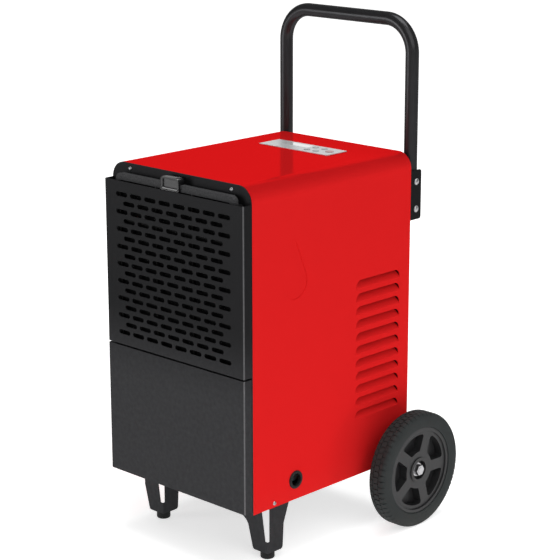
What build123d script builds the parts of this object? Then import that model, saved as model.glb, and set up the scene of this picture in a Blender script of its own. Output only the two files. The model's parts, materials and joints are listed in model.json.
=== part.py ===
from build123d import *
import os
from math import cos, hypot, radians, sin

# Commercial dehumidifier: a sheet-metal cabinet on two wheels and two front legs, with a push handle.
# Millimetres, +Z up, front towards -Y, origin on the floor below the middle of the whole machine.

# ---------------------------------------------------------------- driving dimensions
SHELL_WIDTH = 350
SHELL_DEPTH = 416
SHELL_TOP = 700
SHELL_BOTTOM = 112
SHELL_CORNER = 30            # radius of the two long top edges
SHEET = 1.5                  # steel sheet of shell, panels and inner walls
RETURN_FLANGE = 20           # width of the shell's folded front and rear flanges, from its outer face

PANEL_DEPTH = 22             # how far the grille and the tank front stand forward of the shell
PANEL_FOLD = 3
PLATE = 2                    # front frame plate
GRILLE_LOW, GRILLE_HIGH = 366, 670
TANK_FRONT_LOW, TANK_FRONT_HIGH = 118, 363
SLOT_LENGTH, SLOT_HEIGHT = 29.5, 8
SLOT_PITCH, SLOT_ROW_PITCH, SLOT_COLUMNS, SLOT_ROWS = 37.1, 16.03, 8, 17
SLOT_TOP_INSET = 24          # first slot row below the grille's top edge

LOUVRE_COUNT, LOUVRE_PITCH = 11, 24.84
LOUVRE_LENGTH, LOUVRE_HEIGHT, LOUVRE_DEPTH, LOUVRE_CORNER = 121, 15.5, 12, 13
LOUVRE_REAR_INSET, LOUVRE_LOW = 28, 222.3

EMBLEM_RADIUS, EMBLEM_TIP, EMBLEM_HEIGHT, EMBLEM_RELIEF = 31, 4, 104, 1
EMBLEM_SET_BACK, EMBLEM_LOW = 105.5, 484

WHEEL_RADIUS, WHEEL_WIDTH, WHEEL_GAP = 110, 36, 32
AXLE_INSET = 38              # axle centre forward of the shell's rear edge
AXLE_RADIUS, AXLE_END_RADIUS = 8, 6
RIM_RADIUS, RIM_FACE_RADIUS, HUB_RADIUS, HUB_RECESS = 83, 76, 18, 11
POCKET_OUTER, POCKET_INNER, POCKET_DEPTH, POCKETS = 69, 36, 22, 5
POCKET_FILLET, SPOKE_HALF, FIRST_POCKET = 5, 10.5, 34
HUB_BOSS_RADIUS, RIM_DISH = 24, 3
SPACER_RADIUS, WASHER_RADIUS, WASHER, WHEEL_NUT, WHEEL_NUT_FLATS = 12, 13, 2, 8, 18

TUBE_RADIUS, TUBE_WALL, HANDLE_BEND = 12.5, 1.5, 60
HANDLE_TOP, HANDLE_HALF, HANDLE_GAP, HANDLE_LOW = 950, 157.5, 6, 578
BRACKET_LOW, BRACKET_HIGH, BRACKET_DEPTH, BRACKET = 571.5, 665, 33, 2.5
HANDLE_BOLTS = (591.5, 643)          # heights
HANDLE_BOLT, HANDLE_BOLT_HEAD, HANDLE_BOLT_HEAD_HEIGHT, HANDLE_NUT, HANDLE_NUT_FLATS = 3, 5.5, 3.3, 5, 10

FOOT_RADIUS, FOOT_HEIGHT, FOOT_FILLET = 13, 15, 3
FOOT_HALF, FOOT_SET_BACK, FOOT_TO_FOLD = 138, 73, 17
LEG_SHEET = 2

BASE_SHEET, FLOOR_UNDER = 2, 124
DECK = 351                   # underside of the deck over the tank bay
BULKHEAD_SET_BACK = 216.5    # partition behind the tank bay

TANK_HALF, TANK_LENGTH, TANK_WALL, TANK_RIM, TANK_TOP = 149, 220.5, 3, 3, 335
TANK_LIFT, TANK_CORNER = 8, 12
RAIL_PLACE, RAIL_WIDTH = 90, 12
FLOAT_PIVOT_INSET, FLOAT_PIVOT_DROP, FLOAT_PIN = 22, 35, 3

FILTER_HALF, FILTER_THICK, FILTER_BORDER, FILTER_PROUD = 150, 10, 12, 13
FILTER_CORNER, FILTER_SET_BACK, FILTER_LOW = 12, 5, 372
TAB_PLACE, TAB_WIDTH, TAB_HEIGHT, TAB_THICK = -5, 46, 24, 5

COIL_HALF, COIL_LOW, COIL_HIGH, COIL_DEPTH = 134, 378, 655, 54
TUBE_PITCH, COIL_ROWS, COIL_TUBE, FINS, FIN = 30, 9, 4, 21, 0.6
EVAPORATOR_SET_BACK, CONDENSER_SET_BACK = 52, 120
TRAY_HALF, TRAY_DEPTH, TRAY_WALL = 150, 18, 2

FAN_HEIGHT, FAN_RADIUS, FAN_TIP_GAP, FAN_SET_BACK, SHROUD_SET_BACK = 520, 118, 9, 190, 160
FAN_BLADES, BLADE_PITCH_ANGLE, HUB_OF_FAN, SHAFT_RADIUS = 5, 25, 28, 4
MOTOR_RADIUS, MOTOR_FRONT, MOTOR_LENGTH = 45, 222, 68

COMPRESSOR_X, COMPRESSOR_SET_BACK, COMPRESSOR_RADIUS = -70, 315, 60
COMPRESSOR_LIFT, COMPRESSOR_HEIGHT, COMPRESSOR_FOOT_CIRCLE = 16, 190, 78
PIPE_RADIUS, CAPILLARY_RADIUS = 3, 1.5

PANEL_X, PANEL_SET_BACK, PANEL_LENGTH, PANEL_WIDTH, PANEL_THICK, PANEL_CORNER = -3.5, 315.5, 172, 55, 1.5, 1.5
PANEL_LAP = 6
WINDOW_OFFSET, WINDOW_SIZE, WINDOW_CORNER = (-24, 11), (66, 20), 2
KEY_TRAVEL, KEY_PROUD, KEY_RADIUS, POWER_KEY_RADIUS, KEY_GAP = 1.2, 1, 6, 8, 0.4

GROMMET_SET_BACK, GROMMET_HEIGHT, GROMMET_RADIUS, DRAIN_BORE = 107.5, 149.5, 16.7, 11.7
GLAND_X, GLAND_HEIGHT, GLAND_BORE, GLAND_NECK = 110, 170, 4, 9
GLAND_FLATS, GLAND_HEX, GLAND_CAP, GLAND_NUT = 24, 7, 12, 5

RUNNING = 0.06               # radial clearance of a turning fit
APART = 0.3                  # gap between neighbours that move past each other
SCREW, SCREW_HEAD, SCREW_HEAD_HEIGHT = 2, 4, 2

# ---------------------------------------------------------------- places worked out from them
HALF = SHELL_WIDTH / 2
INNER = HALF - SHEET
OVERALL_DEPTH = PANEL_DEPTH + SHELL_DEPTH - AXLE_INSET + WHEEL_RADIUS
FRONT = -OVERALL_DEPTH / 2
SHELL_FRONT = FRONT + PANEL_DEPTH
SHELL_REAR = SHELL_FRONT + SHELL_DEPTH
PLATE_FACE = SHELL_FRONT - PLATE
BASE_TOP = FLOOR_UNDER + BASE_SHEET
DECK_TOP = DECK + SHEET
AXLE_Y, AXLE_Z = SHELL_REAR - AXLE_INSET, WHEEL_RADIUS
WHEEL_IN = HALF + WHEEL_GAP
WHEEL_OUT = WHEEL_IN + WHEEL_WIDTH
HUB_FACE = WHEEL_OUT - HUB_RECESS
HANDLE_Y = SHELL_REAR + HANDLE_GAP + TUBE_RADIUS
BULKHEAD = SHELL_FRONT + BULKHEAD_SET_BACK
FAN_Y, SHROUD = SHELL_FRONT + FAN_SET_BACK, SHELL_FRONT + SHROUD_SET_BACK
SHROUD_RADIUS = FAN_RADIUS + FAN_TIP_GAP
TANK_FRONT_Y = FRONT + SHEET
TANK_REAR = TANK_FRONT_Y + TANK_LENGTH
TANK_LOW = BASE_TOP + TANK_LIFT
FLOAT_Y, FLOAT_Z = TANK_REAR - FLOAT_PIVOT_INSET, TANK_TOP - FLOAT_PIVOT_DROP
FILTER_FACE = FRONT + FILTER_SET_BACK
FILTER_BACK = FILTER_FACE + FILTER_THICK
FILTER_HIGH = GRILLE_HIGH + FILTER_PROUD
EVAPORATOR, CONDENSER = SHELL_FRONT + EVAPORATOR_SET_BACK, SHELL_FRONT + CONDENSER_SET_BACK
COIL_Z = (COIL_LOW + COIL_HIGH - TUBE_PITCH * (COIL_ROWS - 1)) / 2
COMPRESSOR_Y = SHELL_FRONT + COMPRESSOR_SET_BACK
COMPRESSOR_Z = BASE_TOP + COMPRESSOR_LIFT
PANEL_Y = SHELL_FRONT + PANEL_SET_BACK
LEG_Y = SHELL_FRONT + FOOT_SET_BACK - FOOT_TO_FOLD
LEG_HEIGHT = FLOOR_UNDER - FOOT_HEIGHT

FRONT_SCREWS = [(x, SHELL_TOP - RETURN_FLANGE / 2) for x in (-128, 0, 128)]
SIDE_SCREWS = [(SHELL_FRONT + d, (SHELL_BOTTOM + FLOOR_UNDER) / 2 + 1.6) for d in (53.4, 330)]
REAR_SCREWS = [(s * (HALF - RETURN_FLANGE / 2), z) for s in (-1, 1) for z in (190, 370, 550)]
REAR_SCREWS += [(s * HALF / 2, SHELL_TOP - RETURN_FLANGE / 2) for s in (-1, 1)]
BRACKET_SCREWS = [(s * (HANDLE_HALF - TUBE_RADIUS - 8), z) for s in (-1, 1) for z in (595, 645)]
KEYS = {"key_up": (22, 12), "key_down": (22, -12), "key_mode": (44, 12), "key_timer": (44, -12)}
KEY_POWER = (67, 0)

os.makedirs("parts", exist_ok=True)


# ---------------------------------------------------------------- helpers
def save(piece, name):
    """Label a finished piece and write it as its own file."""
    piece.part.label = name
    export_step(piece.part, f"parts/{name}.step")


def facing_front(y):
    """Upright plane at depth y whose normal points to the front; drawn in X and Z."""
    return Plane.XZ.offset(-y)


def facing_rear(y):
    """Upright plane at depth y whose normal points to the rear; drawn in -X and Z."""
    return Plane((0, y, 0), x_dir=(-1, 0, 0), z_dir=(0, 1, 0))


def facing_right(x):
    """Upright plane at x whose normal points to +X; drawn in Y and Z."""
    return Plane.YZ.offset(x)


def block(x, y, z, mode=Mode.ADD):
    """Box that spans three (low, high) pairs."""
    with Locations(tuple((low + high) / 2 for low, high in (x, y, z))):
        Box(x[1] - x[0], y[1] - y[0], z[1] - z[0], mode=mode)


def rod(axis, span, centre, radius, mode=Mode.ADD):
    """Round bar along X, Y or Z over span; centre is its place on the other two axes."""
    place = list(centre)
    place.insert("XYZ".index(axis), (span[0] + span[1]) / 2)
    turn = {"X": (0, 90, 0), "Y": (90, 0, 0), "Z": (0, 0, 0)}[axis]
    with Locations(tuple(place)):
        Cylinder(radius, span[1] - span[0], rotation=turn, mode=mode)


def drill(plane, points, radius, depth):
    """Round holes that go back from plane."""
    with BuildSketch(plane) as holes:
        with Locations(*points):
            Circle(radius)
    extrude(holes.sketch, amount=-depth, mode=Mode.SUBTRACT)


def screws(plane, points, length, radius=SCREW, head=SCREW_HEAD, height=SCREW_HEAD_HEIGHT):
    """Pan-head screws whose heads stand on plane."""
    with BuildSketch(plane) as heads:
        with Locations(*points):
            Circle(head)
    extrude(heads.sketch, amount=height, taper=20)
    with BuildSketch(plane) as shanks:
        with Locations(*points):
            Circle(radius)
    extrude(shanks.sketch, amount=-length)


def hexagon(plane, points, flats, height, bore=0):
    """Hexagon heads, or nuts where there is a bore, that stand on plane."""
    with BuildSketch(plane) as hexes:
        with Locations(*points):
            RegularPolygon(flats / 2, 6, major_radius=False)
            if bore:
                Circle(bore, mode=Mode.SUBTRACT)
    extrude(hexes.sketch, amount=height)


def cabinet_face(inset, low):
    """Front outline of the cabinet, drawn inset from the shell's outer face, down to height low."""
    top = SHELL_TOP - inset
    with BuildSketch(mode=Mode.PRIVATE) as face:
        with Locations((0, (low + top) / 2)):
            Rectangle(2 * (HALF - inset), top - low)
        fillet(face.vertices().group_by(Axis.Y)[-1], SHELL_CORNER - inset)
    return face.sketch


def folded_panel(low, high, back, top_flange):
    """Shallow sheet pan across the cabinet front, open to the rear, with or without a top flange."""
    with BuildSketch(Plane.XY.offset(low)) as plan:
        with Locations((0, (FRONT + back) / 2)):
            Rectangle(SHELL_WIDTH, back - FRONT)
        fillet(plan.vertices().group_by(Axis.Y)[0], PANEL_FOLD)
    extrude(plan.sketch, amount=high - low)
    ceiling = high - SHEET if top_flange else high + 1
    block((-INNER, INNER), (FRONT + SHEET, back + 1), (low + SHEET, ceiling), Mode.SUBTRACT)


# ---------------------------------------------------------------- outer shell
def louvre_form(section):
    """Prism of the louvre's outline, cut to a cross-section in X and Z; its bottom edge is the origin."""
    with BuildPart(mode=Mode.PRIVATE) as form:
        with BuildSketch(facing_right(-LOUVRE_DEPTH - BLADE - 1)) as outline:
            with Locations((0, LOUVRE_HEIGHT / 2)):
                Rectangle(LOUVRE_LENGTH, LOUVRE_HEIGHT)
            fillet(outline.vertices().group_by(Axis.Y)[-1], LOUVRE_CORNER)
        extrude(outline.sketch, amount=LOUVRE_DEPTH + BLADE + 2)
        with BuildSketch(facing_front(LOUVRE_LENGTH)) as cut:
            with BuildLine():
                Polyline(*section, close=True)
            make_face()
        extrude(cut.sketch, amount=2 * LOUVRE_LENGTH, mode=Mode.INTERSECT)
    return form.part


BLADE = SHEET * hypot(LOUVRE_DEPTH, LOUVRE_HEIGHT) / LOUVRE_HEIGHT
louvre_opening = louvre_form([(1, 0), (-SHEET - 1, 0), (-SHEET - 1, LOUVRE_HEIGHT), (1, LOUVRE_HEIGHT)])
louvre_blade = louvre_form([(0, 0), (-BLADE, 0), (-BLADE - LOUVRE_DEPTH, LOUVRE_HEIGHT),
                            (-LOUVRE_DEPTH, LOUVRE_HEIGHT)])
LOUVRE_Y = SHELL_REAR - LOUVRE_REAR_INSET - LOUVRE_LENGTH / 2
louvre_places = [(HALF, LOUVRE_Y, LOUVRE_LOW + i * LOUVRE_PITCH) for i in range(LOUVRE_COUNT)]


def emblem_outline(grow):
    """Plain water drop: a round body drawn up to a blunt tip."""
    reach = EMBLEM_HEIGHT - EMBLEM_RADIUS - EMBLEM_TIP
    with BuildSketch(mode=Mode.PRIVATE) as drop:
        Circle(EMBLEM_RADIUS + grow)
        with Locations((0, reach)):
            Circle(EMBLEM_TIP + grow)
        make_hull()
    return drop.sketch


EMBLEM_PLACE = (SHELL_FRONT + EMBLEM_SET_BACK, EMBLEM_LOW + EMBLEM_RADIUS)

with BuildPart() as outer_shell:
    with BuildSketch(facing_front(SHELL_REAR)):
        add(cabinet_face(0, SHELL_BOTTOM))
        add(cabinet_face(SHEET, SHELL_BOTTOM - 1), mode=Mode.SUBTRACT)
    extrude(amount=SHELL_DEPTH)
    for back in (SHELL_FRONT + SHEET, SHELL_REAR - SHEET):
        with BuildSketch(facing_front(back)):
            add(cabinet_face(SHEET, BASE_TOP))
            add(cabinet_face(RETURN_FLANGE, BASE_TOP - 1), mode=Mode.SUBTRACT)
        extrude(amount=SHEET)
    split(bisect_by=Plane.YZ, keep=Keep.TOP)
    with Locations(*louvre_places):
        add(louvre_opening, mode=Mode.SUBTRACT)
    with Locations(*louvre_places):
        add(louvre_blade)
    with BuildSketch(facing_right(INNER)):
        with Locations(EMBLEM_PLACE):
            add(emblem_outline(SHEET / 2))
    extrude(amount=-EMBLEM_RELIEF)
    with BuildSketch(facing_right(HALF)):
        with Locations(EMBLEM_PLACE):
            add(emblem_outline(0))
    extrude(amount=-EMBLEM_RELIEF, mode=Mode.SUBTRACT)
    rod("X", (INNER - 1, HALF + 1), (AXLE_Y, AXLE_Z), SPACER_RADIUS + 1, Mode.SUBTRACT)
    drill(facing_right(HALF + 1), SIDE_SCREWS, SCREW, SHEET + 2)
    mirror(about=Plane.YZ)
    drill(facing_front(SHELL_FRONT - 1), FRONT_SCREWS, SCREW, SHEET + 2)
    drill(facing_front(SHELL_REAR - 2 * SHEET - 1), REAR_SCREWS, SCREW, SHEET + 2)
    rod("X", (INNER - 1, HALF + 1), (SHELL_FRONT + GROMMET_SET_BACK, GROMMET_HEIGHT),
        (GROMMET_RADIUS + DRAIN_BORE) / 2, Mode.SUBTRACT)
    with BuildSketch(Plane.XY.offset(SHELL_TOP + 1)):
        with Locations((PANEL_X, PANEL_Y)):
            RectangleRounded(PANEL_LENGTH - 2 * PANEL_LAP, PANEL_WIDTH - 2 * PANEL_LAP, WINDOW_CORNER)
    extrude(amount=-SHEET - 2, mode=Mode.SUBTRACT)
save(outer_shell, "outer_shell")


# ---------------------------------------------------------------- front frame, grille and filter
with BuildPart() as front_frame:
    with BuildSketch(facing_front(SHELL_FRONT)):
        add(cabinet_face(0, SHELL_BOTTOM))
    extrude(amount=PLATE)
    opening = HALF - RETURN_FLANGE
    block((-opening, opening), (PLATE_FACE - 1, SHELL_FRONT + 1), (BASE_TOP + 2, DECK - 1), Mode.SUBTRACT)
    inlet = FILTER_HALF - FILTER_BORDER
    block((-inlet, inlet), (PLATE_FACE - 1, SHELL_FRONT + 1), (COIL_LOW, COIL_HIGH), Mode.SUBTRACT)
    drill(facing_front(PLATE_FACE - 1), FRONT_SCREWS, SCREW, PLATE + 2)
save(front_frame, "front_frame")

with BuildPart() as inlet_grille:
    folded_panel(GRILLE_LOW, GRILLE_HIGH, PLATE_FACE, top_flange=False)
    slots_middle = GRILLE_HIGH - SLOT_TOP_INSET - SLOT_ROW_PITCH * (SLOT_ROWS - 1) / 2
    wide_rows, narrow_rows = (SLOT_ROWS + 1) // 2, SLOT_ROWS // 2
    with BuildSketch(facing_front(FRONT + SHEET + 1)):
        with Locations((0, slots_middle)):
            with GridLocations(SLOT_PITCH, 2 * SLOT_ROW_PITCH, SLOT_COLUMNS, wide_rows):
                SlotOverall(SLOT_LENGTH, SLOT_HEIGHT)
            with GridLocations(SLOT_PITCH, 2 * SLOT_ROW_PITCH, SLOT_COLUMNS - 1, narrow_rows):
                SlotOverall(SLOT_LENGTH, SLOT_HEIGHT)
    extrude(amount=SHEET + 2, mode=Mode.SUBTRACT)
save(inlet_grille, "inlet_grille")

GUIDE_HALF = FILTER_HALF + 6
GUIDE_LIP = FILTER_HALF - 6
with BuildPart() as filter_guide:
    guide_low = GRILLE_LOW + SHEET
    block((-GUIDE_HALF, GUIDE_HALF), (FILTER_FACE - 2, PLATE_FACE), (guide_low, GRILLE_HIGH - 2))
    block((-GUIDE_LIP, GUIDE_LIP), (FILTER_FACE - 3, PLATE_FACE + 1), (COIL_LOW - 3, GRILLE_HIGH),
          Mode.SUBTRACT)
    groove = FILTER_HALF + APART
    block((-groove, groove), (FILTER_FACE - APART, FILTER_BACK + APART),
          (FILTER_LOW - APART, GRILLE_HIGH), Mode.SUBTRACT)
save(filter_guide, "filter_guide")

with BuildPart() as filter_frame:
    with BuildSketch(facing_front(FILTER_BACK)) as rim:
        with Locations((0, (FILTER_LOW + FILTER_HIGH) / 2)):
            Rectangle(2 * FILTER_HALF, FILTER_HIGH - FILTER_LOW)
        fillet(rim.vertices().group_by(Axis.Y)[-1], FILTER_CORNER)
    extrude(amount=FILTER_THICK)
    window = FILTER_HALF - FILTER_BORDER
    window_z = (FILTER_LOW + FILTER_BORDER, FILTER_HIGH - FILTER_BORDER)
    block((-window, window), (FILTER_FACE - 1, FILTER_BACK + 1), window_z, Mode.SUBTRACT)
    for rib in (-1 / 3, 1 / 3):
        block((rib * window - 1.5, rib * window + 1.5), (FILTER_FACE, FILTER_FACE + 4), window_z)
    for share in (0.25, 0.5, 0.75):
        rib = window_z[0] + share * (window_z[1] - window_z[0])
        block((-window, window), (FILTER_FACE, FILTER_FACE + 4), (rib - 1.5, rib + 1.5))
save(filter_frame, "filter_frame")

with BuildPart() as filter_mesh:
    block((-window, window), (FILTER_FACE + 4, FILTER_FACE + 6), window_z)
save(filter_mesh, "filter_mesh")

with BuildPart() as pull_tab:
    tab_low = GRILLE_HIGH + 1
    with BuildSketch(facing_front(FILTER_FACE)) as tab_face:
        with Locations((TAB_PLACE, tab_low + TAB_HEIGHT / 2)):
            Rectangle(TAB_WIDTH, TAB_HEIGHT)
        fillet(tab_face.vertices().group_by(Axis.Y)[-1], 9)
        fillet(tab_face.vertices().group_by(Axis.Y)[0], 3)
    extrude(amount=TAB_THICK - APART)
    with BuildSketch(facing_front(FRONT)):
        with Locations((TAB_PLACE, tab_low + TAB_HEIGHT / 2 - 2)):
            RectangleRounded(TAB_WIDTH - 12, TAB_HEIGHT - 11, 4)
    extrude(amount=-TAB_THICK + 1.6, mode=Mode.SUBTRACT)
    block((TAB_PLACE - TAB_WIDTH / 2 + 9, TAB_PLACE + TAB_WIDTH / 2 - 9), (FILTER_FACE, FILTER_BACK),
          (FILTER_HIGH, tab_low + TAB_HEIGHT - 4))
save(pull_tab, "pull_tab")


# ---------------------------------------------------------------- base, inner walls and rear
LEG_CORNERS = {"left": -FOOT_HALF + FOOT_TO_FOLD, "right": FOOT_HALF + FOOT_TO_FOLD}
LEG_BOLTS_BACK = (15, 42)    # behind the leg's front face
LEG_BOLT_PLACES = [(x - FOOT_TO_FOLD, LEG_Y + v) for x in LEG_CORNERS.values() for v in LEG_BOLTS_BACK]
AXLE_BRACKET_X, AXLE_BRACKET = 140, 3
AXLE_BOLT_PLACES = [(s * (AXLE_BRACKET_X - 14), AXLE_Y + t * 16) for s in (-1, 1) for t in (-1, 1)]
COMPRESSOR_FEET = [(COMPRESSOR_X + COMPRESSOR_FOOT_CIRCLE * cos(radians(a)),
                    COMPRESSOR_Y + COMPRESSOR_FOOT_CIRCLE * sin(radians(a))) for a in (90, 210, 330)]
SMALL_BOLT, BIG_BOLT = 3, 4

with BuildPart() as base_pan:
    base_y = (SHELL_FRONT, SHELL_REAR - SHEET)
    block((-INNER, INNER), base_y, (SHELL_BOTTOM + 1, BASE_TOP))
    hollow = INNER - BASE_SHEET
    block((-hollow, hollow), (base_y[0] + BASE_SHEET, base_y[1] - BASE_SHEET), (SHELL_BOTTOM, FLOOR_UNDER),
          Mode.SUBTRACT)
    rod("X", (-HALF, HALF), (AXLE_Y, AXLE_Z), SPACER_RADIUS + 1, Mode.SUBTRACT)
    drill(Plane.XY.offset(BASE_TOP + 1), LEG_BOLT_PLACES + AXLE_BOLT_PLACES, SMALL_BOLT, BASE_SHEET + 2)
    drill(Plane.XY.offset(BASE_TOP + 1), COMPRESSOR_FEET, BIG_BOLT, BASE_SHEET + 2)
    drill(facing_right(HALF + 1), SIDE_SCREWS, SCREW, SHELL_WIDTH + 2)
save(base_pan, "base_pan")

SPOUT_Y, SPOUT_RADIUS, SPOUT_BORE = SHELL_FRONT + 50, 7, 5
with BuildPart() as tank_bay:
    bay_front = SHELL_FRONT + SHEET
    block((-INNER, INNER), (bay_front, BULKHEAD + SHEET), (DECK, DECK_TOP))
    block((-INNER, INNER), (BULKHEAD, BULKHEAD + SHEET), (BASE_TOP, DECK))
    rod("Z", (DECK - 1, DECK_TOP + 1), (0, SPOUT_Y), SPOUT_RADIUS, Mode.SUBTRACT)
save(tank_bay, "tank_bay")

with BuildPart() as tank_rails:
    for side in (-1, 1):
        middle = side * RAIL_PLACE
        block((middle - RAIL_WIDTH / 2, middle + RAIL_WIDTH / 2), (SHELL_FRONT + 6, BULKHEAD - 2),
              (BASE_TOP, TANK_LOW - APART))
save(tank_rails, "tank_rails")

with BuildPart() as rear_panel:
    with BuildSketch(facing_front(SHELL_REAR)):
        add(cabinet_face(SHEET, SHELL_BOTTOM + 1))
    extrude(amount=SHEET)
    drill(facing_front(SHELL_REAR - SHEET - 1), REAR_SCREWS, SCREW, SHEET + 2)
    drill(facing_front(SHELL_REAR - SHEET - 1), BRACKET_SCREWS, SCREW, SHEET + 2)
    rod("Y", (SHELL_REAR - SHEET - 1, SHELL_REAR + 1), (GLAND_X, GLAND_HEIGHT), GLAND_NECK,
        Mode.SUBTRACT)
save(rear_panel, "rear_panel")

with BuildPart() as cable_gland:
    gland_place = [(-GLAND_X, GLAND_HEIGHT)]
    hexagon(facing_rear(SHELL_REAR), gland_place, GLAND_FLATS, GLAND_HEX)
    with BuildSketch(facing_rear(SHELL_REAR + GLAND_HEX)):
        with Locations(*gland_place):
            Circle(GLAND_NECK + 1)
    extrude(amount=GLAND_CAP, taper=12)
    nut_rear = SHELL_REAR - SHEET
    rod("Y", (nut_rear - 2 * GLAND_NUT, SHELL_REAR), (GLAND_X, GLAND_HEIGHT), GLAND_NECK)
    hexagon(facing_front(nut_rear), [(GLAND_X, GLAND_HEIGHT)], GLAND_FLATS, GLAND_NUT)
    rod("Y", (nut_rear - 2 * GLAND_NUT - 1, SHELL_REAR + GLAND_HEX + GLAND_CAP + 1), (GLAND_X, GLAND_HEIGHT),
        GLAND_BORE, Mode.SUBTRACT)
save(cable_gland, "cable_gland")

with BuildPart() as drain_grommet:
    grommet_place = (SHELL_FRONT + GROMMET_SET_BACK, GROMMET_HEIGHT)
    neck = (GROMMET_RADIUS + DRAIN_BORE) / 2
    rod("X", (HALF, HALF + 2.5), grommet_place, GROMMET_RADIUS)
    fillet(drain_grommet.faces().sort_by(Axis.X)[-1].edges(), 1.5)
    rod("X", (INNER - 2.5, INNER), grommet_place, GROMMET_RADIUS)
    rod("X", (INNER, HALF), grommet_place, neck)
    rod("X", (INNER - 4, HALF + 4), grommet_place, DRAIN_BORE, Mode.SUBTRACT)
save(drain_grommet, "drain_grommet")


# ---------------------------------------------------------------- water tank, its front and the float
with BuildPart() as tank_front:
    folded_panel(TANK_FRONT_LOW, TANK_FRONT_HIGH, PLATE_FACE - 2 * APART, top_flange=True)
save(tank_front, "tank_front")

FLOAT_EAR_IN, FLOAT_EAR_OUT, FLOAT_EAR_HALF = 16, 20, 10
with BuildPart() as water_tank:
    block((-TANK_HALF, TANK_HALF), (TANK_FRONT_Y, TANK_REAR), (TANK_LOW, TANK_TOP))
    fillet(water_tank.edges().filter_by(Axis.Z), TANK_CORNER)
    cavity = (TANK_FRONT_Y + TANK_WALL, TANK_REAR - TANK_WALL)
    with BuildSketch(Plane.XY.offset(TANK_LOW + TANK_WALL)):
        with Locations((0, (TANK_FRONT_Y + TANK_REAR) / 2)):
            RectangleRounded(2 * (TANK_HALF - TANK_WALL), TANK_LENGTH - 2 * TANK_WALL, TANK_CORNER - TANK_WALL)
    extrude(amount=TANK_TOP - TANK_LOW, mode=Mode.SUBTRACT)
    for side in (-1, 1):
        outer = side * (TANK_HALF + TANK_RIM)
        inner = side * (TANK_HALF - 1)
        block((min(outer, inner), max(outer, inner)), (SHELL_FRONT + 3, TANK_REAR - TANK_CORNER),
              (TANK_TOP - 4, TANK_TOP))
        ear = sorted((side * FLOAT_EAR_IN, side * FLOAT_EAR_OUT))
        block(ear, (FLOAT_Y - FLOAT_EAR_HALF, cavity[1]), (FLOAT_Z - FLOAT_EAR_HALF, FLOAT_Z + FLOAT_EAR_HALF))
    rod("X", (-FLOAT_EAR_OUT - 1, FLOAT_EAR_OUT + 1), (FLOAT_Y, FLOAT_Z), FLOAT_PIN + RUNNING, Mode.SUBTRACT)
save(water_tank, "water_tank")

with BuildPart() as float_arm:
    block((-35, 35), (FLOAT_Y - 100, FLOAT_Y - 50), (FLOAT_Z - 18, FLOAT_Z + 6))
    fillet(float_arm.edges().filter_by(Axis.Z), 8)
    block((-8, 8), (FLOAT_Y - 51, FLOAT_Y + 2), (FLOAT_Z - 3, FLOAT_Z + 3))
    rod("X", (-12, 12), (FLOAT_Y, FLOAT_Z), 6)
    rod("X", (-FLOAT_EAR_OUT - 1, FLOAT_EAR_OUT + 1), (FLOAT_Y, FLOAT_Z), FLOAT_PIN)
save(float_arm, "float_arm")

with BuildPart() as float_switch:
    block((-18, 18), (FLOAT_Y - 90, FLOAT_Y - 60), (DECK - 3, DECK))
    block((-12, 12), (FLOAT_Y - 86, FLOAT_Y - 64), (DECK - 12, DECK - 3))
save(float_switch, "float_switch")


# ---------------------------------------------------------------- refrigeration circuit
def tube_rows(centre):
    """Tube places (y, z) of a two-column coil in flow order, up one column and down the other."""
    front, back = centre - TUBE_PITCH / 2, centre + TUBE_PITCH / 2
    heights = [COIL_Z + i * TUBE_PITCH for i in range(COIL_ROWS)]
    return [(front, z) for z in heights] + [(back, z) for z in reversed(heights)]


END_PLATE = 1.5
BEND_X = COIL_HALF + END_PLATE + 2
STUB_X = BEND_X + TUBE_PITCH / 2


def return_bend(side, first, second):
    """Half ring that joins two neighbouring tubes beyond the end plate."""
    middle = Vector(side * BEND_X, (first[0] + second[0]) / 2, (first[1] + second[1]) / 2)
    across = Vector(0, second[0] - first[0], second[1] - first[1]).normalized()
    start = Plane(middle, x_dir=across, z_dir=(-side, 0, 0))
    with BuildSketch(start) as profile:
        with Locations((TUBE_PITCH / 2, 0)):
            Circle(COIL_TUBE)
    revolve(profile.sketch, axis=Axis(middle, start.y_dir), revolution_arc=180)


def coil_fins(centre):
    """Stack of upright fin plates pierced by the tubes."""
    with BuildPart() as stack:
        with BuildSketch(facing_right(-FIN / 2)):
            with Locations((centre, (COIL_LOW + COIL_HIGH) / 2)):
                Rectangle(COIL_DEPTH, COIL_HIGH - COIL_LOW)
            with Locations(*tube_rows(centre)):
                Circle(COIL_TUBE, mode=Mode.SUBTRACT)
        extrude(amount=FIN)
    plate = stack.part
    with BuildPart() as fins:
        with GridLocations(2 * (COIL_HALF - 2) / (FINS - 1), 1, FINS, 1):
            add(plate)
    return fins


def serpentine(centre):
    """Straight tubes and return bends of one coil, both free ends at the left."""
    places = tube_rows(centre)
    for place in places:
        last = place in (places[0], places[-1])
        rod("X", (-STUB_X if last else -BEND_X, BEND_X), place, COIL_TUBE)
    for number, pair in enumerate(zip(places, places[1:])):
        return_bend(-1 if number % 2 else 1, *pair)


save(coil_fins(EVAPORATOR), "evaporator_fins")
save(coil_fins(CONDENSER), "condenser_fins")
with BuildPart() as coil_tubes:
    serpentine(EVAPORATOR)
    serpentine(CONDENSER)
save(coil_tubes, "coil_tubes")

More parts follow.
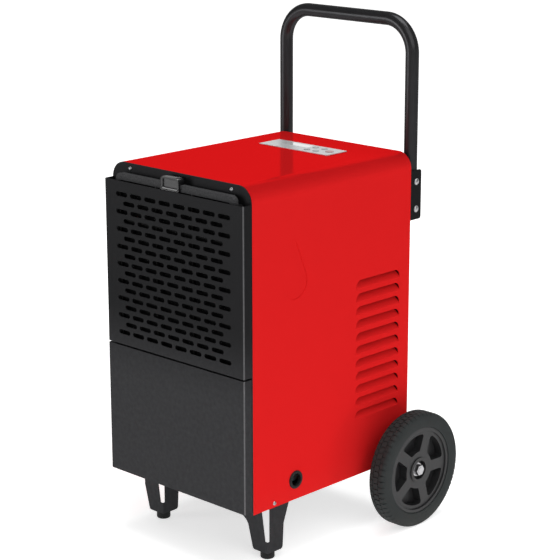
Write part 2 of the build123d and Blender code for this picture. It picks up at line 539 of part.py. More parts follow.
TRAY_Y = (SHELL_FRONT + 20, SHROUD - 5)
with BuildPart() as coil_end_plates:
    for side in (-1, 1):
        with BuildSketch(facing_right(min(side * COIL_HALF, side * (COIL_HALF + END_PLATE)))):
            low = DECK_TOP + TRAY_WALL
            with Locations(((EVAPORATOR + CONDENSER) / 2, (low + COIL_HIGH + 3) / 2)):
                Rectangle(CONDENSER - EVAPORATOR + COIL_DEPTH, COIL_HIGH + 3 - low)
            with Locations(*tube_rows(EVAPORATOR), *tube_rows(CONDENSER)):
                Circle(COIL_TUBE, mode=Mode.SUBTRACT)
        extrude(amount=END_PLATE)
save(coil_end_plates, "coil_end_plates")

with BuildPart() as drip_tray:
    block((-TRAY_HALF, TRAY_HALF), TRAY_Y, (DECK_TOP, DECK_TOP + TRAY_DEPTH))
    inside = TRAY_HALF - TRAY_WALL
    block((-inside, inside), (TRAY_Y[0] + TRAY_WALL, TRAY_Y[1] - TRAY_WALL),
          (DECK_TOP + TRAY_WALL, DECK_TOP + TRAY_DEPTH + 1), Mode.SUBTRACT)
    rod("Z", (DECK - 8, DECK_TOP), (0, SPOUT_Y), SPOUT_RADIUS)
    rod("Z", (DECK - 9, DECK_TOP + TRAY_WALL + 1), (0, SPOUT_Y), SPOUT_BORE, Mode.SUBTRACT)
save(drip_tray, "drip_tray")

def pipe(points, radius, bend):
    """Bent pipe along a route of points, with the same bend radius at each corner."""
    with BuildLine() as route:
        FilletPolyline(*points, radius=bend)
    with BuildSketch(Plane(points[0], z_dir=Vector(*points[1]) - Vector(*points[0]))) as section:
        Circle(radius)
    sweep(section.sketch, path=route.line)


ACCUMULATOR_PLACE, ACCUMULATOR_RADIUS = (COMPRESSOR_X + 95, COMPRESSOR_Y + 26), 26
ACCUMULATOR_Z = (COMPRESSOR_Z + 32, COMPRESSOR_Z + 170)
STUB_RADIUS = PIPE_RADIUS + 2
TRANSFER_X, TRANSFER_Z = COMPRESSOR_X + COMPRESSOR_RADIUS + 4, ACCUMULATOR_Z[0] - 12
COMPRESSOR_TOP = COMPRESSOR_Z + 3 + COMPRESSOR_HEIGHT
DISCHARGE = (COMPRESSOR_X - 22, COMPRESSOR_Y - 18)
with BuildPart() as compressor:
    with BuildSketch(Plane.XY.offset(COMPRESSOR_Z)) as foot_plate:
        with Locations(*COMPRESSOR_FEET):
            Circle(15)
        make_hull()
        with Locations(*COMPRESSOR_FEET):
            Circle(BIG_BOLT, mode=Mode.SUBTRACT)
    extrude(amount=3)
    with BuildSketch(Plane.XY.offset(COMPRESSOR_Z + 3)):
        with Locations((COMPRESSOR_X, COMPRESSOR_Y)):
            Circle(COMPRESSOR_RADIUS)
    extrude(amount=COMPRESSOR_HEIGHT)
    fillet(compressor.faces().sort_by(Axis.Z)[-1].edges(), 28)
    weld_z = COMPRESSOR_Z + 3 + 0.72 * COMPRESSOR_HEIGHT
    rod("Z", (weld_z, weld_z + 6), (COMPRESSOR_X, COMPRESSOR_Y), COMPRESSOR_RADIUS + 2)
    rod("Z", (COMPRESSOR_TOP - 30, COMPRESSOR_TOP + 14), DISCHARGE, PIPE_RADIUS + 1)
    block((COMPRESSOR_X + 8, COMPRESSOR_X + 40), (COMPRESSOR_Y - 16, COMPRESSOR_Y + 16),
          (COMPRESSOR_TOP - 20, COMPRESSOR_TOP + 8))
    rod("X", (COMPRESSOR_X + 20, TRANSFER_X), (ACCUMULATOR_PLACE[1], TRANSFER_Z), STUB_RADIUS)
save(compressor, "compressor")

with BuildPart() as compressor_mounts:
    with BuildSketch(Plane.XY.offset(BASE_TOP)):
        with Locations(*COMPRESSOR_FEET):
            Circle(13)
            Circle(BIG_BOLT, mode=Mode.SUBTRACT)
    extrude(amount=COMPRESSOR_LIFT)
save(compressor_mounts, "compressor_mounts")

with BuildPart() as accumulator:
    rod("Z", ACCUMULATOR_Z, ACCUMULATOR_PLACE, ACCUMULATOR_RADIUS)
    fillet(accumulator.edges().group_by(Axis.Z)[-1] + accumulator.edges().group_by(Axis.Z)[0], 14)
    rod("Z", (ACCUMULATOR_Z[1] - 4, ACCUMULATOR_Z[1] + 14), ACCUMULATOR_PLACE, STUB_RADIUS)
    pipe([(*ACCUMULATOR_PLACE, ACCUMULATOR_Z[0] + 2), (*ACCUMULATOR_PLACE, TRANSFER_Z),
          (TRANSFER_X, ACCUMULATOR_PLACE[1], TRANSFER_Z)], STUB_RADIUS, 9)
save(accumulator, "accumulator")

DRIER_PLACE, DRIER_Z = (COMPRESSOR_X - 60, BULKHEAD + SHEET + 14), (240, 330)
with BuildPart() as filter_drier:
    rod("Z", DRIER_Z, DRIER_PLACE, 10)
    fillet(filter_drier.edges().group_by(Axis.Z)[-1] + filter_drier.edges().group_by(Axis.Z)[0], 6)
    rod("Z", (DRIER_Z[0] - 10, DRIER_Z[1] + 10), DRIER_PLACE, PIPE_RADIUS)
save(filter_drier, "filter_drier")

PIPE_X = INNER - 7.5
coil_end = {name: tube_rows(y) for name, y in (("evaporator", EVAPORATOR), ("condenser", CONDENSER))}


def wall_run(tube, height, end_y):
    """Way from a coil's free end along the left wall, at its own height, to depth end_y."""
    y, z = tube
    corner = [] if height == z else [(-PIPE_X, y, height)]
    return [(-STUB_X, y, z), (-PIPE_X, y, z), *corner, (-PIPE_X, end_y, height)]


RUN_Y = BULKHEAD + SHEET + 8
with BuildPart() as refrigerant_pipes:
    front_z = COIL_Z
    high_run = wall_run(coil_end["condenser"][-1], front_z, RUN_Y + 14)
    pipe([*high_run, (DISCHARGE[0], RUN_Y + 14, front_z), (*DISCHARGE, front_z),
          (*DISCHARGE, COMPRESSOR_TOP + 14)], PIPE_RADIUS, 7)
    liquid_run = wall_run(coil_end["condenser"][0], front_z - 16, DRIER_PLACE[1])
    pipe([*liquid_run, (*DRIER_PLACE, front_z - 16), (*DRIER_PLACE, DRIER_Z[1] + 10)], PIPE_RADIUS, 7)
    suction_run = wall_run(coil_end["evaporator"][-1], front_z + 18, RUN_Y)
    pipe([*suction_run, (ACCUMULATOR_PLACE[0], RUN_Y, front_z + 18), (*ACCUMULATOR_PLACE, front_z + 18),
          (*ACCUMULATOR_PLACE, ACCUMULATOR_Z[1] + 14)], PIPE_RADIUS, 7)
save(refrigerant_pipes, "refrigerant_pipes")

with BuildPart() as capillary_tube:
    thin_run = wall_run(coil_end["evaporator"][0], front_z - 28, DRIER_PLACE[1] + 18)
    drop_x, low_z = -PIPE_X + 16, DRIER_Z[0] - 26
    pipe([*thin_run, (drop_x, DRIER_PLACE[1] + 18, front_z - 28), (drop_x, DRIER_PLACE[1] + 18, low_z),
          (*DRIER_PLACE, low_z), (*DRIER_PLACE, DRIER_Z[0] - 10)], CAPILLARY_RADIUS, 6)
save(capillary_tube, "capillary_tube")


# ---------------------------------------------------------------- fan
with BuildPart() as fan_shroud:
    with BuildSketch(facing_front(SHROUD + SHEET)):
        add(cabinet_face(SHEET, DECK_TOP))
        with Locations((0, FAN_HEIGHT)):
            Circle(SHROUD_RADIUS, mode=Mode.SUBTRACT)
        with Locations((-PIPE_X, front_z - 5)):
            Rectangle(10, 54, mode=Mode.SUBTRACT)
    extrude(amount=SHEET)
    with BuildSketch(facing_front(FAN_Y + 17)):
        with Locations((0, FAN_HEIGHT)):
            Circle(SHROUD_RADIUS + SHEET)
            Circle(SHROUD_RADIUS, mode=Mode.SUBTRACT)
    extrude(amount=FAN_Y + 17 - SHROUD)
save(fan_shroud, "fan_shroud")

MOTOR_Y = (SHELL_FRONT + MOTOR_FRONT, SHELL_FRONT + MOTOR_FRONT + MOTOR_LENGTH)
SHAFT_Y = (FAN_Y - 20, MOTOR_Y[1] - 6)
with BuildPart() as fan_motor:
    rod("Y", MOTOR_Y, (0, FAN_HEIGHT), MOTOR_RADIUS)
    fillet(fan_motor.edges().group_by(Axis.Y)[0], 8)
    rod("Y", (MOTOR_Y[0] - 4, MOTOR_Y[0]), (0, FAN_HEIGHT), 14)
    rod("Y", (MOTOR_Y[0] - 5, SHAFT_Y[1] + 1), (0, FAN_HEIGHT), SHAFT_RADIUS + RUNNING, Mode.SUBTRACT)
save(fan_motor, "fan_motor")

with BuildPart() as motor_bracket:
    arm_x = SHROUD_RADIUS + 12
    block((-arm_x, arm_x), (SHROUD + SHEET, MOTOR_Y[1] + 2), (FAN_HEIGHT - 15, FAN_HEIGHT + 15))
    block((-arm_x + 2, arm_x - 2), (SHROUD, MOTOR_Y[1]), (FAN_HEIGHT - 16, FAN_HEIGHT + 16), Mode.SUBTRACT)
save(motor_bracket, "motor_bracket")

with BuildPart() as fan_blade:
    rod("Y", (FAN_Y - 14, FAN_Y + 14), (0, FAN_HEIGHT), HUB_OF_FAN)
    fillet(fan_blade.edges().group_by(Axis.Y)[0], 6)
    tilt = radians(BLADE_PITCH_ANGLE)
    with BuildPart(mode=Mode.PRIVATE) as blade:
        with BuildSketch(Plane((0, FAN_Y, FAN_HEIGHT), x_dir=(1, 0, 0), z_dir=(0, -cos(tilt), sin(tilt)))):
            with BuildLine():
                root, tip = HUB_OF_FAN - 8, FAN_RADIUS + 10
                Polyline((root, -12), (tip, -34), (tip, 34), (root, 12), close=True)
            make_face()
        extrude(amount=1, both=True)
        rod("Y", (FAN_Y - 30, FAN_Y + 30), (0, FAN_HEIGHT), FAN_RADIUS, Mode.INTERSECT)
    for number in range(FAN_BLADES):
        add(blade.part.rotate(Axis((0, FAN_Y, FAN_HEIGHT), (0, 1, 0)), number * 360 / FAN_BLADES))
    rod("Y", (FAN_Y - 30, FAN_Y + 30), (0, FAN_HEIGHT), SHAFT_RADIUS, Mode.SUBTRACT)
save(fan_blade, "fan_blade")

with BuildPart() as fan_shaft:
    rod("Y", SHAFT_Y, (0, FAN_HEIGHT), SHAFT_RADIUS)
    hexagon(facing_front(FAN_Y - 14), [(0, FAN_HEIGHT)], 13, 5)
save(fan_shaft, "fan_shaft")


# ---------------------------------------------------------------- electrics and control panel
with BuildPart() as run_capacitor:
    rod("Z", (BASE_TOP, BASE_TOP + 92), (110, BULKHEAD + SHEET + 26), 22)
    fillet(run_capacitor.edges().group_by(Axis.Z)[-1], 3)
    for side in (-8, 8):
        block((108 + side, 112 + side), (BULKHEAD + SHEET + 25, BULKHEAD + SHEET + 27),
              (BASE_TOP + 92, BASE_TOP + 104))
save(run_capacitor, "run_capacitor")

BOX_TOP, BOX_LOW, BOX_WALL = SHELL_TOP - SHEET, SHELL_TOP - 45, 2
BOARD_Z = SHELL_TOP - 18
BOARD_TOP = BOARD_Z + 1.6
KEY_FLANGE = 1.5
box_half = (PANEL_LENGTH / 2 - 2, PANEL_WIDTH / 2 - 2)
board_half = tuple(half - BOX_WALL - 1.5 for half in box_half)
display_half = tuple(size / 2 - 2 for size in WINDOW_SIZE)
with BuildPart() as control_box:
    block((PANEL_X - box_half[0], PANEL_X + box_half[0]), (PANEL_Y - box_half[1], PANEL_Y + box_half[1]),
          (BOX_LOW, BOX_TOP))
    block((PANEL_X - box_half[0] + BOX_WALL, PANEL_X + box_half[0] - BOX_WALL),
          (PANEL_Y - box_half[1] + BOX_WALL, PANEL_Y + box_half[1] - BOX_WALL),
          (BOX_LOW + BOX_WALL, BOX_TOP + 1), Mode.SUBTRACT)
    with BuildSketch(Plane.XY.offset(BOX_LOW + BOX_WALL)):
        with Locations((PANEL_X, PANEL_Y)):
            with GridLocations(PANEL_LENGTH - 30, PANEL_WIDTH - 20, 2, 2):
                Circle(3.5)
    extrude(amount=BOARD_Z - BOX_LOW - BOX_WALL)
save(control_box, "control_box")

KEY_PLACES = {name: (PANEL_X + x, PANEL_Y + y) for name, (x, y) in {**KEYS, "key_power": KEY_POWER}.items()}
KEY_RADII = {name: POWER_KEY_RADIUS if name == "key_power" else KEY_RADIUS for name in KEY_PLACES}
FACE_TOP = SHELL_TOP + PANEL_THICK
WINDOW = (PANEL_X + WINDOW_OFFSET[0], PANEL_Y + WINDOW_OFFSET[1])
SWITCH_TOP = BOARD_TOP + 4
with BuildPart() as control_board:
    block((PANEL_X - board_half[0], PANEL_X + board_half[0]), (PANEL_Y - board_half[1], PANEL_Y + board_half[1]),
          (BOARD_Z, BOARD_TOP))
    for place in KEY_PLACES.values():
        block((place[0] - 3, place[0] + 3), (place[1] - 3, place[1] + 3), (BOARD_TOP, SWITCH_TOP))
    block((WINDOW[0] - display_half[0], WINDOW[0] + display_half[0]),
          (WINDOW[1] - display_half[1], WINDOW[1] + display_half[1]), (BOARD_TOP, SHELL_TOP - 1))
save(control_board, "control_board")

with BuildPart() as control_panel:
    with BuildSketch(Plane.XY.offset(SHELL_TOP)):
        with Locations((PANEL_X, PANEL_Y)):
            RectangleRounded(PANEL_LENGTH, PANEL_WIDTH, PANEL_CORNER)
        for name, place in KEY_PLACES.items():
            with Locations(place):
                Circle(KEY_RADII[name] + KEY_GAP, mode=Mode.SUBTRACT)
        with Locations(WINDOW):
            RectangleRounded(*WINDOW_SIZE, WINDOW_CORNER, mode=Mode.SUBTRACT)
    extrude(amount=PANEL_THICK)
save(control_panel, "control_panel")

with BuildPart() as display_window:
    with BuildSketch(Plane.XY.offset(SHELL_TOP - 1)):
        with Locations(WINDOW):
            RectangleRounded(*WINDOW_SIZE, WINDOW_CORNER)
    extrude(amount=PANEL_THICK + 1)
save(display_window, "display_window")

for name, (x, y) in KEY_PLACES.items():
    with BuildPart() as key:
        cap_top = FACE_TOP + KEY_PROUD
        flange_top = SHELL_TOP - APART
        rod("Z", (flange_top - KEY_FLANGE, cap_top), (x, y), KEY_RADII[name])
        fillet(key.edges().group_by(Axis.Z)[-1], 0.6)
        rod("Z", (flange_top - KEY_FLANGE, flange_top), (x, y), KEY_RADII[name] + 1.5)
        rod("Z", (SWITCH_TOP + KEY_TRAVEL + APART, flange_top - KEY_FLANGE), (x, y), 2)
    save(key, name)

with BuildPart() as humidity_sensor:
    block((-128, -108), (SHELL_FRONT + 6, SHELL_FRONT + 17), (DECK_TOP, DECK_TOP + 2))
    block((-124, -112), (SHELL_FRONT + 8, SHELL_FRONT + 15), (DECK_TOP + 2, DECK_TOP + 40))
    fillet(humidity_sensor.faces().sort_by(Axis.Z)[-1].edges(), 1.5)
save(humidity_sensor, "humidity_sensor")


# ---------------------------------------------------------------- handle
with BuildPart() as handle_tube:
    with BuildLine(facing_front(HANDLE_Y)) as hoop:
        grip_z = HANDLE_TOP - TUBE_RADIUS
        FilletPolyline((-HANDLE_HALF, HANDLE_LOW), (-HANDLE_HALF, grip_z), (HANDLE_HALF, grip_z),
                       (HANDLE_HALF, HANDLE_LOW), radius=HANDLE_BEND)
    with BuildSketch(Plane.XY.offset(HANDLE_LOW)):
        with Locations((-HANDLE_HALF, HANDLE_Y)):
            Circle(TUBE_RADIUS)
            Circle(TUBE_RADIUS - TUBE_WALL, mode=Mode.SUBTRACT)
    sweep(path=hoop.line)
    for z in HANDLE_BOLTS:
        rod("X", (-HALF, HALF), (HANDLE_Y, z), HANDLE_BOLT, Mode.SUBTRACT)
save(handle_tube, "handle_tube")

BRACKET_OUT = HANDLE_HALF + TUBE_RADIUS + BRACKET
with BuildPart() as handle_brackets:
    block((HANDLE_HALF + TUBE_RADIUS, BRACKET_OUT), (SHELL_REAR, SHELL_REAR + BRACKET_DEPTH),
          (BRACKET_LOW, BRACKET_HIGH))
    flange_in = BRACKET_SCREWS[-1][0] - 8
    block((flange_in, BRACKET_OUT), (SHELL_REAR, SHELL_REAR + BRACKET), (BRACKET_LOW, BRACKET_HIGH))
    fold = handle_brackets.edges().filter_by(Axis.Z).sort_by(lambda e: e.center().X - e.center().Y)[-1]
    fillet(fold, BRACKET)
    ends = handle_brackets.edges().filter_by(Axis.X).group_by(Axis.Y)[-1]
    fillet(ends, 5)
    for z in HANDLE_BOLTS:
        rod("X", (HANDLE_HALF, HALF), (HANDLE_Y, z), HANDLE_BOLT, Mode.SUBTRACT)
    mirror(about=Plane.YZ)
    drill(facing_front(SHELL_REAR - 1), BRACKET_SCREWS, SCREW, BRACKET + 2)
save(handle_brackets, "handle_brackets")

with BuildPart() as handle_bolts:
    bolt_places = [(HANDLE_Y, z) for z in HANDLE_BOLTS]
    nut_face = HANDLE_HALF - TUBE_RADIUS
    screws(facing_right(BRACKET_OUT), bolt_places, BRACKET_OUT - nut_face + HANDLE_NUT + 1.5, HANDLE_BOLT,
           HANDLE_BOLT_HEAD, HANDLE_BOLT_HEAD_HEIGHT)
    hexagon(facing_right(nut_face - HANDLE_NUT), bolt_places, HANDLE_NUT_FLATS, HANDLE_NUT)
    mirror(about=Plane.YZ)
save(handle_bolts, "handle_bolts")

with BuildPart() as panel_screws:
    screws(facing_right(HALF), SIDE_SCREWS, 6)
    mirror(about=Plane.YZ)
    screws(facing_front(PLATE_FACE), FRONT_SCREWS, 8)
    screws(facing_rear(SHELL_REAR), REAR_SCREWS, 8)
    screws(facing_rear(SHELL_REAR + BRACKET), BRACKET_SCREWS, 8)
save(panel_screws, "panel_screws")


# ---------------------------------------------------------------- axle and wheels
with BuildPart() as axle:
    rod("X", (-HUB_FACE - APART, HUB_FACE + APART), (AXLE_Y, AXLE_Z), AXLE_RADIUS)
    rod("X", (-WHEEL_OUT + 0.3, WHEEL_OUT - 0.3), (AXLE_Y, AXLE_Z), AXLE_END_RADIUS)
save(axle, "axle")

with BuildPart() as axle_brackets:
    plate_x = (AXLE_BRACKET_X - AXLE_BRACKET / 2, AXLE_BRACKET_X + AXLE_BRACKET / 2)
    block(plate_x, (AXLE_Y - 26, AXLE_Y + 26), (AXLE_Z - 16, FLOOR_UNDER))
    fillet(axle_brackets.edges().filter_by(Axis.X).group_by(Axis.Z)[0], 14)
    block((plate_x[0] - 24, plate_x[0]), (AXLE_Y - 26, AXLE_Y + 26), (FLOOR_UNDER - 2, FLOOR_UNDER))
    rod("X", (0, HALF), (AXLE_Y, AXLE_Z), AXLE_RADIUS, Mode.SUBTRACT)
    mirror(about=Plane.YZ)
    drill(Plane.XY.offset(FLOOR_UNDER + 1), AXLE_BOLT_PLACES, SMALL_BOLT, 4)
save(axle_brackets, "axle_brackets")

with BuildPart() as axle_spacers:
    rod("X", (plate_x[1], WHEEL_IN - APART), (AXLE_Y, AXLE_Z), SPACER_RADIUS)
    rod("X", (0, WHEEL_IN), (AXLE_Y, AXLE_Z), AXLE_RADIUS, Mode.SUBTRACT)
    mirror(about=Plane.YZ)
save(axle_spacers, "axle_spacers")

with BuildPart() as axle_nuts:
    washer_x = HUB_FACE + APART
    rod("X", (washer_x, washer_x + WASHER), (AXLE_Y, AXLE_Z), WASHER_RADIUS)
    rod("X", (washer_x - 1, washer_x + WASHER + 1), (AXLE_Y, AXLE_Z), AXLE_END_RADIUS, Mode.SUBTRACT)
    hexagon(facing_right(washer_x + WASHER), [(AXLE_Y, AXLE_Z)], WHEEL_NUT_FLATS, WHEEL_NUT, AXLE_END_RADIUS)
    mirror(about=Plane.YZ)
save(axle_nuts, "axle_nuts")


def spoke_pocket():
    """Wheel pocket between two spokes, drawn about the wheel's centre along local +X."""
    half_angle = radians(180 / POCKETS)
    apex = SPOKE_HALF / sin(half_angle)
    reach = 1.5 * POCKET_OUTER
    corner_x, corner_y = apex + reach * cos(half_angle), reach * sin(half_angle)
    with BuildSketch(mode=Mode.PRIVATE) as pocket:
        Circle(POCKET_OUTER)
        Circle(POCKET_INNER, mode=Mode.SUBTRACT)
        with BuildLine():
            Polyline((apex, 0), (corner_x, corner_y), (corner_x, -corner_y), close=True)
        make_face(mode=Mode.INTERSECT)
        fillet(pocket.vertices(), POCKET_FILLET)
    return pocket.sketch


def wheel_rim():
    """Right wheel's moulded centre: rim, recessed face, five pockets and hub."""
    centre = (AXLE_Y, AXLE_Z)
    with BuildPart() as rim:
        rod("X", (WHEEL_IN + 3, WHEEL_OUT - 2), centre, RIM_RADIUS)
        rod("X", (WHEEL_OUT - 5, WHEEL_OUT), centre, RIM_FACE_RADIUS, Mode.SUBTRACT)
        rod("X", (WHEEL_IN, WHEEL_IN + 8), centre, RIM_FACE_RADIUS, Mode.SUBTRACT)
        with BuildSketch(facing_right(WHEEL_OUT)):
            with Locations(*(Location(centre, FIRST_POCKET + i * 360 / POCKETS) for i in range(POCKETS))):
                add(spoke_pocket())
        extrude(amount=-POCKET_DEPTH, mode=Mode.SUBTRACT)
        rod("X", (WHEEL_IN, WHEEL_OUT - RIM_DISH), centre, HUB_BOSS_RADIUS)
        fillet(rim.faces().filter_by(Axis.X).sort_by(Axis.X)[-1].edges(), 1)
        rod("X", (HUB_FACE, WHEEL_OUT), centre, HUB_RADIUS, Mode.SUBTRACT)
        rod("X", (WHEEL_IN - 1, WHEEL_OUT), centre, AXLE_RADIUS + RUNNING, Mode.SUBTRACT)
    return rim


def tyre():
    """Right wheel's solid rubber tyre: flat walls, round shoulders and two tread grooves."""
    with BuildPart() as ring:
        rod("X", (WHEEL_IN, WHEEL_OUT), (AXLE_Y, AXLE_Z), WHEEL_RADIUS)
        fillet(ring.edges().filter_by(GeomType.CIRCLE), 9)
        for groove_x in (WHEEL_IN + WHEEL_WIDTH / 3, WHEEL_OUT - WHEEL_WIDTH / 3):
            with BuildSketch(facing_right(groove_x - 1)):
                with Locations((AXLE_Y, AXLE_Z)):
                    Circle(WHEEL_RADIUS + 1)
                    Circle(WHEEL_RADIUS - 3, mode=Mode.SUBTRACT)
            extrude(amount=2, mode=Mode.SUBTRACT)
        rod("X", (WHEEL_IN - 1, WHEEL_OUT + 1), (AXLE_Y, AXLE_Z), RIM_RADIUS, Mode.SUBTRACT)
    return ring


for wheel_piece, wheel_part in (("wheel_rim", wheel_rim()), ("tyre", tyre())):
    save(wheel_part, f"{wheel_piece}_right")
    with BuildPart() as twin:
        mirror(wheel_part.part, about=Plane.YZ)
    save(twin, f"{wheel_piece}_left")


# ---------------------------------------------------------------- front legs and feet
WINDOW_LOW, WINDOW_HIGH = 37, 100
LEG_CORNER = 6


def front_leg(corner, inner_edge):
    """Folded leg: a front plate and a side plate that meet in a fold at x = corner, with a window."""
    with BuildPart() as leg:
        with BuildSketch(facing_front(LEG_Y + LEG_SHEET)) as front_plate:
            with BuildLine():
                Polyline((corner, FOOT_HEIGHT), *((corner - u, z) for u, z in inner_edge),
                         (corner, FLOOR_UNDER), close=True)
            make_face()
            fillet(front_plate.vertices().sort_by_distance((corner - inner_edge[0][0], FOOT_HEIGHT))[0],
                   LEG_CORNER)
        extrude(amount=LEG_SHEET)
        with BuildSketch(facing_right(corner - LEG_SHEET)) as side_plate:
            with BuildLine():
                Polyline((LEG_Y, FOOT_HEIGHT), (LEG_Y + 39, FOOT_HEIGHT), (LEG_Y + 42, 64),
                         (LEG_Y + 55, 99), (LEG_Y + 58, FLOOR_UNDER), (LEG_Y, FLOOR_UNDER), close=True)
            make_face()
            fillet(side_plate.vertices().sort_by_distance((LEG_Y + 39, FOOT_HEIGHT))[0], LEG_CORNER)
        extrude(amount=LEG_SHEET)
        fillet(leg.edges().filter_by(Axis.Z).sort_by_distance((corner, LEG_Y, LEG_HEIGHT / 2))[0], LEG_SHEET)
        with BuildSketch(facing_front(LEG_Y + LEG_SHEET + 1)):
            with BuildLine():
                Polyline((corner - 7, WINDOW_LOW), (corner - 15.5, WINDOW_HIGH - 9), (corner - 9, WINDOW_HIGH),
                         (corner + 1, WINDOW_HIGH), (corner + 1, WINDOW_LOW), close=True)
            make_face()
        extrude(amount=LEG_SHEET + 2, mode=Mode.SUBTRACT)
        block((corner - LEG_SHEET - 1, corner + 1), (LEG_Y - 1, LEG_Y + 6), (WINDOW_LOW, WINDOW_HIGH),
              Mode.SUBTRACT)
        block((corner - 32, corner - LEG_SHEET), (LEG_Y + LEG_SHEET, LEG_Y + 32),
              (FOOT_HEIGHT, FOOT_HEIGHT + LEG_SHEET))
        block((corner - 32, corner - LEG_SHEET), (LEG_Y + LEG_SHEET, LEG_Y + 52),
              (FLOOR_UNDER - LEG_SHEET, FLOOR_UNDER))
        foot_place = (corner - FOOT_TO_FOLD, LEG_Y + FOOT_TO_FOLD)
        rod("Z", (0, FOOT_HEIGHT + LEG_SHEET + 1), foot_place, SMALL_BOLT, Mode.SUBTRACT)
        drill(Plane.XY.offset(FLOOR_UNDER + 1), LEG_BOLT_PLACES, SMALL_BOLT, LEG_SHEET + 2)
    return leg


OUTER_REACH = INNER - BASE_SHEET - 2 * APART + LEG_CORNERS["left"]
OUTER_EDGE = [(37, FOOT_HEIGHT), (OUTER_REACH, 64), (OUTER_REACH, FLOOR_UNDER)]
FLARED_EDGE = [(37, FOOT_HEIGHT), (49.4, 61), (54, 67), (65, 75), (85, 88), (98, FLOOR_UNDER)]
for side, edge in (("left", OUTER_EDGE), ("right", FLARED_EDGE)):
    save(front_leg(LEG_CORNERS[side], edge), f"front_leg_{side}")

FOOT_PLACES = [(x - FOOT_TO_FOLD, LEG_Y + FOOT_TO_FOLD) for x in LEG_CORNERS.values()]
with BuildPart() as rubber_feet:
    with BuildSketch(Plane.XY):
        with Locations(*FOOT_PLACES):
            Circle(FOOT_RADIUS)
    extrude(amount=FOOT_HEIGHT)
    fillet(rubber_feet.edges().group_by(Axis.Z)[0], FOOT_FILLET)
    with BuildSketch(Plane.XY):
        with Locations(*FOOT_PLACES):
            Circle(6)
    extrude(amount=8, mode=Mode.SUBTRACT)
    drill(Plane.XY.offset(FOOT_HEIGHT + 1), FOOT_PLACES, SMALL_BOLT, FOOT_HEIGHT)
save(rubber_feet, "rubber_feet")

with BuildPart() as base_bolts:
    hexagon(Plane.XY.offset(4), FOOT_PLACES, 10, 4)
    hexagon(Plane.XY.offset(FOOT_HEIGHT + LEG_SHEET), FOOT_PLACES, 10, 5)
    hexagon(Plane.XY.offset(FLOOR_UNDER - 6), LEG_BOLT_PLACES + AXLE_BOLT_PLACES, 10, 4)
    hexagon(Plane.XY.offset(BASE_TOP), LEG_BOLT_PLACES + AXLE_BOLT_PLACES, 10, 4)
    hexagon(Plane.XY.offset(FLOOR_UNDER - 4), COMPRESSOR_FEET, 13, 4)
    hexagon(Plane.XY.offset(COMPRESSOR_Z + 3), COMPRESSOR_FEET, 13, 6)
    for place in FOOT_PLACES:
        rod("Z", (8, FOOT_HEIGHT + LEG_SHEET), place, SMALL_BOLT)
    for place in LEG_BOLT_PLACES + AXLE_BOLT_PLACES:
        rod("Z", (FLOOR_UNDER - 2, BASE_TOP), place, SMALL_BOLT)
    for place in COMPRESSOR_FEET:
        rod("Z", (FLOOR_UNDER, COMPRESSOR_Z + 3), place, BIG_BOLT)
save(base_bolts, "base_bolts")
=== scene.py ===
"""Dehumidifier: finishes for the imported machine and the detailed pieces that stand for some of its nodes."""
import json
from contextlib import contextmanager
from math import pi, radians

import bmesh
import bpy
from mathutils import Matrix, Vector

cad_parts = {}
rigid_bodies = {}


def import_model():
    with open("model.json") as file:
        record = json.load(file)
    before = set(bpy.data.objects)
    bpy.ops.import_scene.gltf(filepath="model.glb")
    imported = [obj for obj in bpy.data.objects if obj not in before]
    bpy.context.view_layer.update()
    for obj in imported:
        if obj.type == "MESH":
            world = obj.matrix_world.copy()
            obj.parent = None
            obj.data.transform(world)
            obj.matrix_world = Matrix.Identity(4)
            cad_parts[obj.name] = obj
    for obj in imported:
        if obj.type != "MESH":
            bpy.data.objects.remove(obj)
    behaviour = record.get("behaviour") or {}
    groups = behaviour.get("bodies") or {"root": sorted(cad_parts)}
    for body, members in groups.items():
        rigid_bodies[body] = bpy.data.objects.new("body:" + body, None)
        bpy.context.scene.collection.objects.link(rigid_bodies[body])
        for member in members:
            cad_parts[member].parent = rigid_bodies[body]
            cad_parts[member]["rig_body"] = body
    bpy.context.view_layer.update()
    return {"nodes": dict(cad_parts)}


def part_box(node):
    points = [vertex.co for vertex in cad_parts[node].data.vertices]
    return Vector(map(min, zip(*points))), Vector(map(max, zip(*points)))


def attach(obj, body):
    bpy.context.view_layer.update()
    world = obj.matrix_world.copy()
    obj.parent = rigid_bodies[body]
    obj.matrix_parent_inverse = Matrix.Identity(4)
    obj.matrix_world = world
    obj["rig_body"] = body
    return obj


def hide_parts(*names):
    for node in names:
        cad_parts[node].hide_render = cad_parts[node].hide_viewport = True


bl_info = {
    "name": "Dehumidifier",
    "version": (1, 0, 0),
    "blender": (4, 5, 0),
    "location": "3D View > Sidebar > Dehumidifier",
    "description": "Finishes and detailed pieces for a dehumidifier on wheels",
    "category": "Object",
}

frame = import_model()
MM = 0.001
NEAR = 0.00001  # two places closer than this are the same
CAD_NEAR = 0.000005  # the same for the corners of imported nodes


# ---------------------------------------------------------------- sizes and colours a user would change
def length(name, description, default, **limits):
    return bpy.props.FloatProperty(name=name, description=description, default=default, unit="LENGTH",
                                   precision=4, **limits)


def colour(name, description, default):
    return bpy.props.FloatVectorProperty(name=name, description=description, default=default, size=3,
                                         subtype="COLOR", min=0, max=1)


class MachineColours(bpy.types.PropertyGroup):
    """Paint and plastic colours."""
    shell: colour("Shell", "Glossy paint of the outer shell", (0.71, 0.0150, 0.0158))
    panel: colour("Panels", "Fine-grained coating of the front panels and the rear", (0.040, 0.040, 0.042))
    handle: colour("Handle", "Gloss coating of the handle", (0.040, 0.040, 0.042))
    tyre: colour("Tyres", "Rubber of the tyres", (0.028, 0.0315, 0.0315))
    wheel: colour("Wheels", "Moulded centres of the wheels", (0.020, 0.020, 0.021))
    keypad: colour("Control panel", "Film on the control panel", (0.56, 0.57, 0.58))


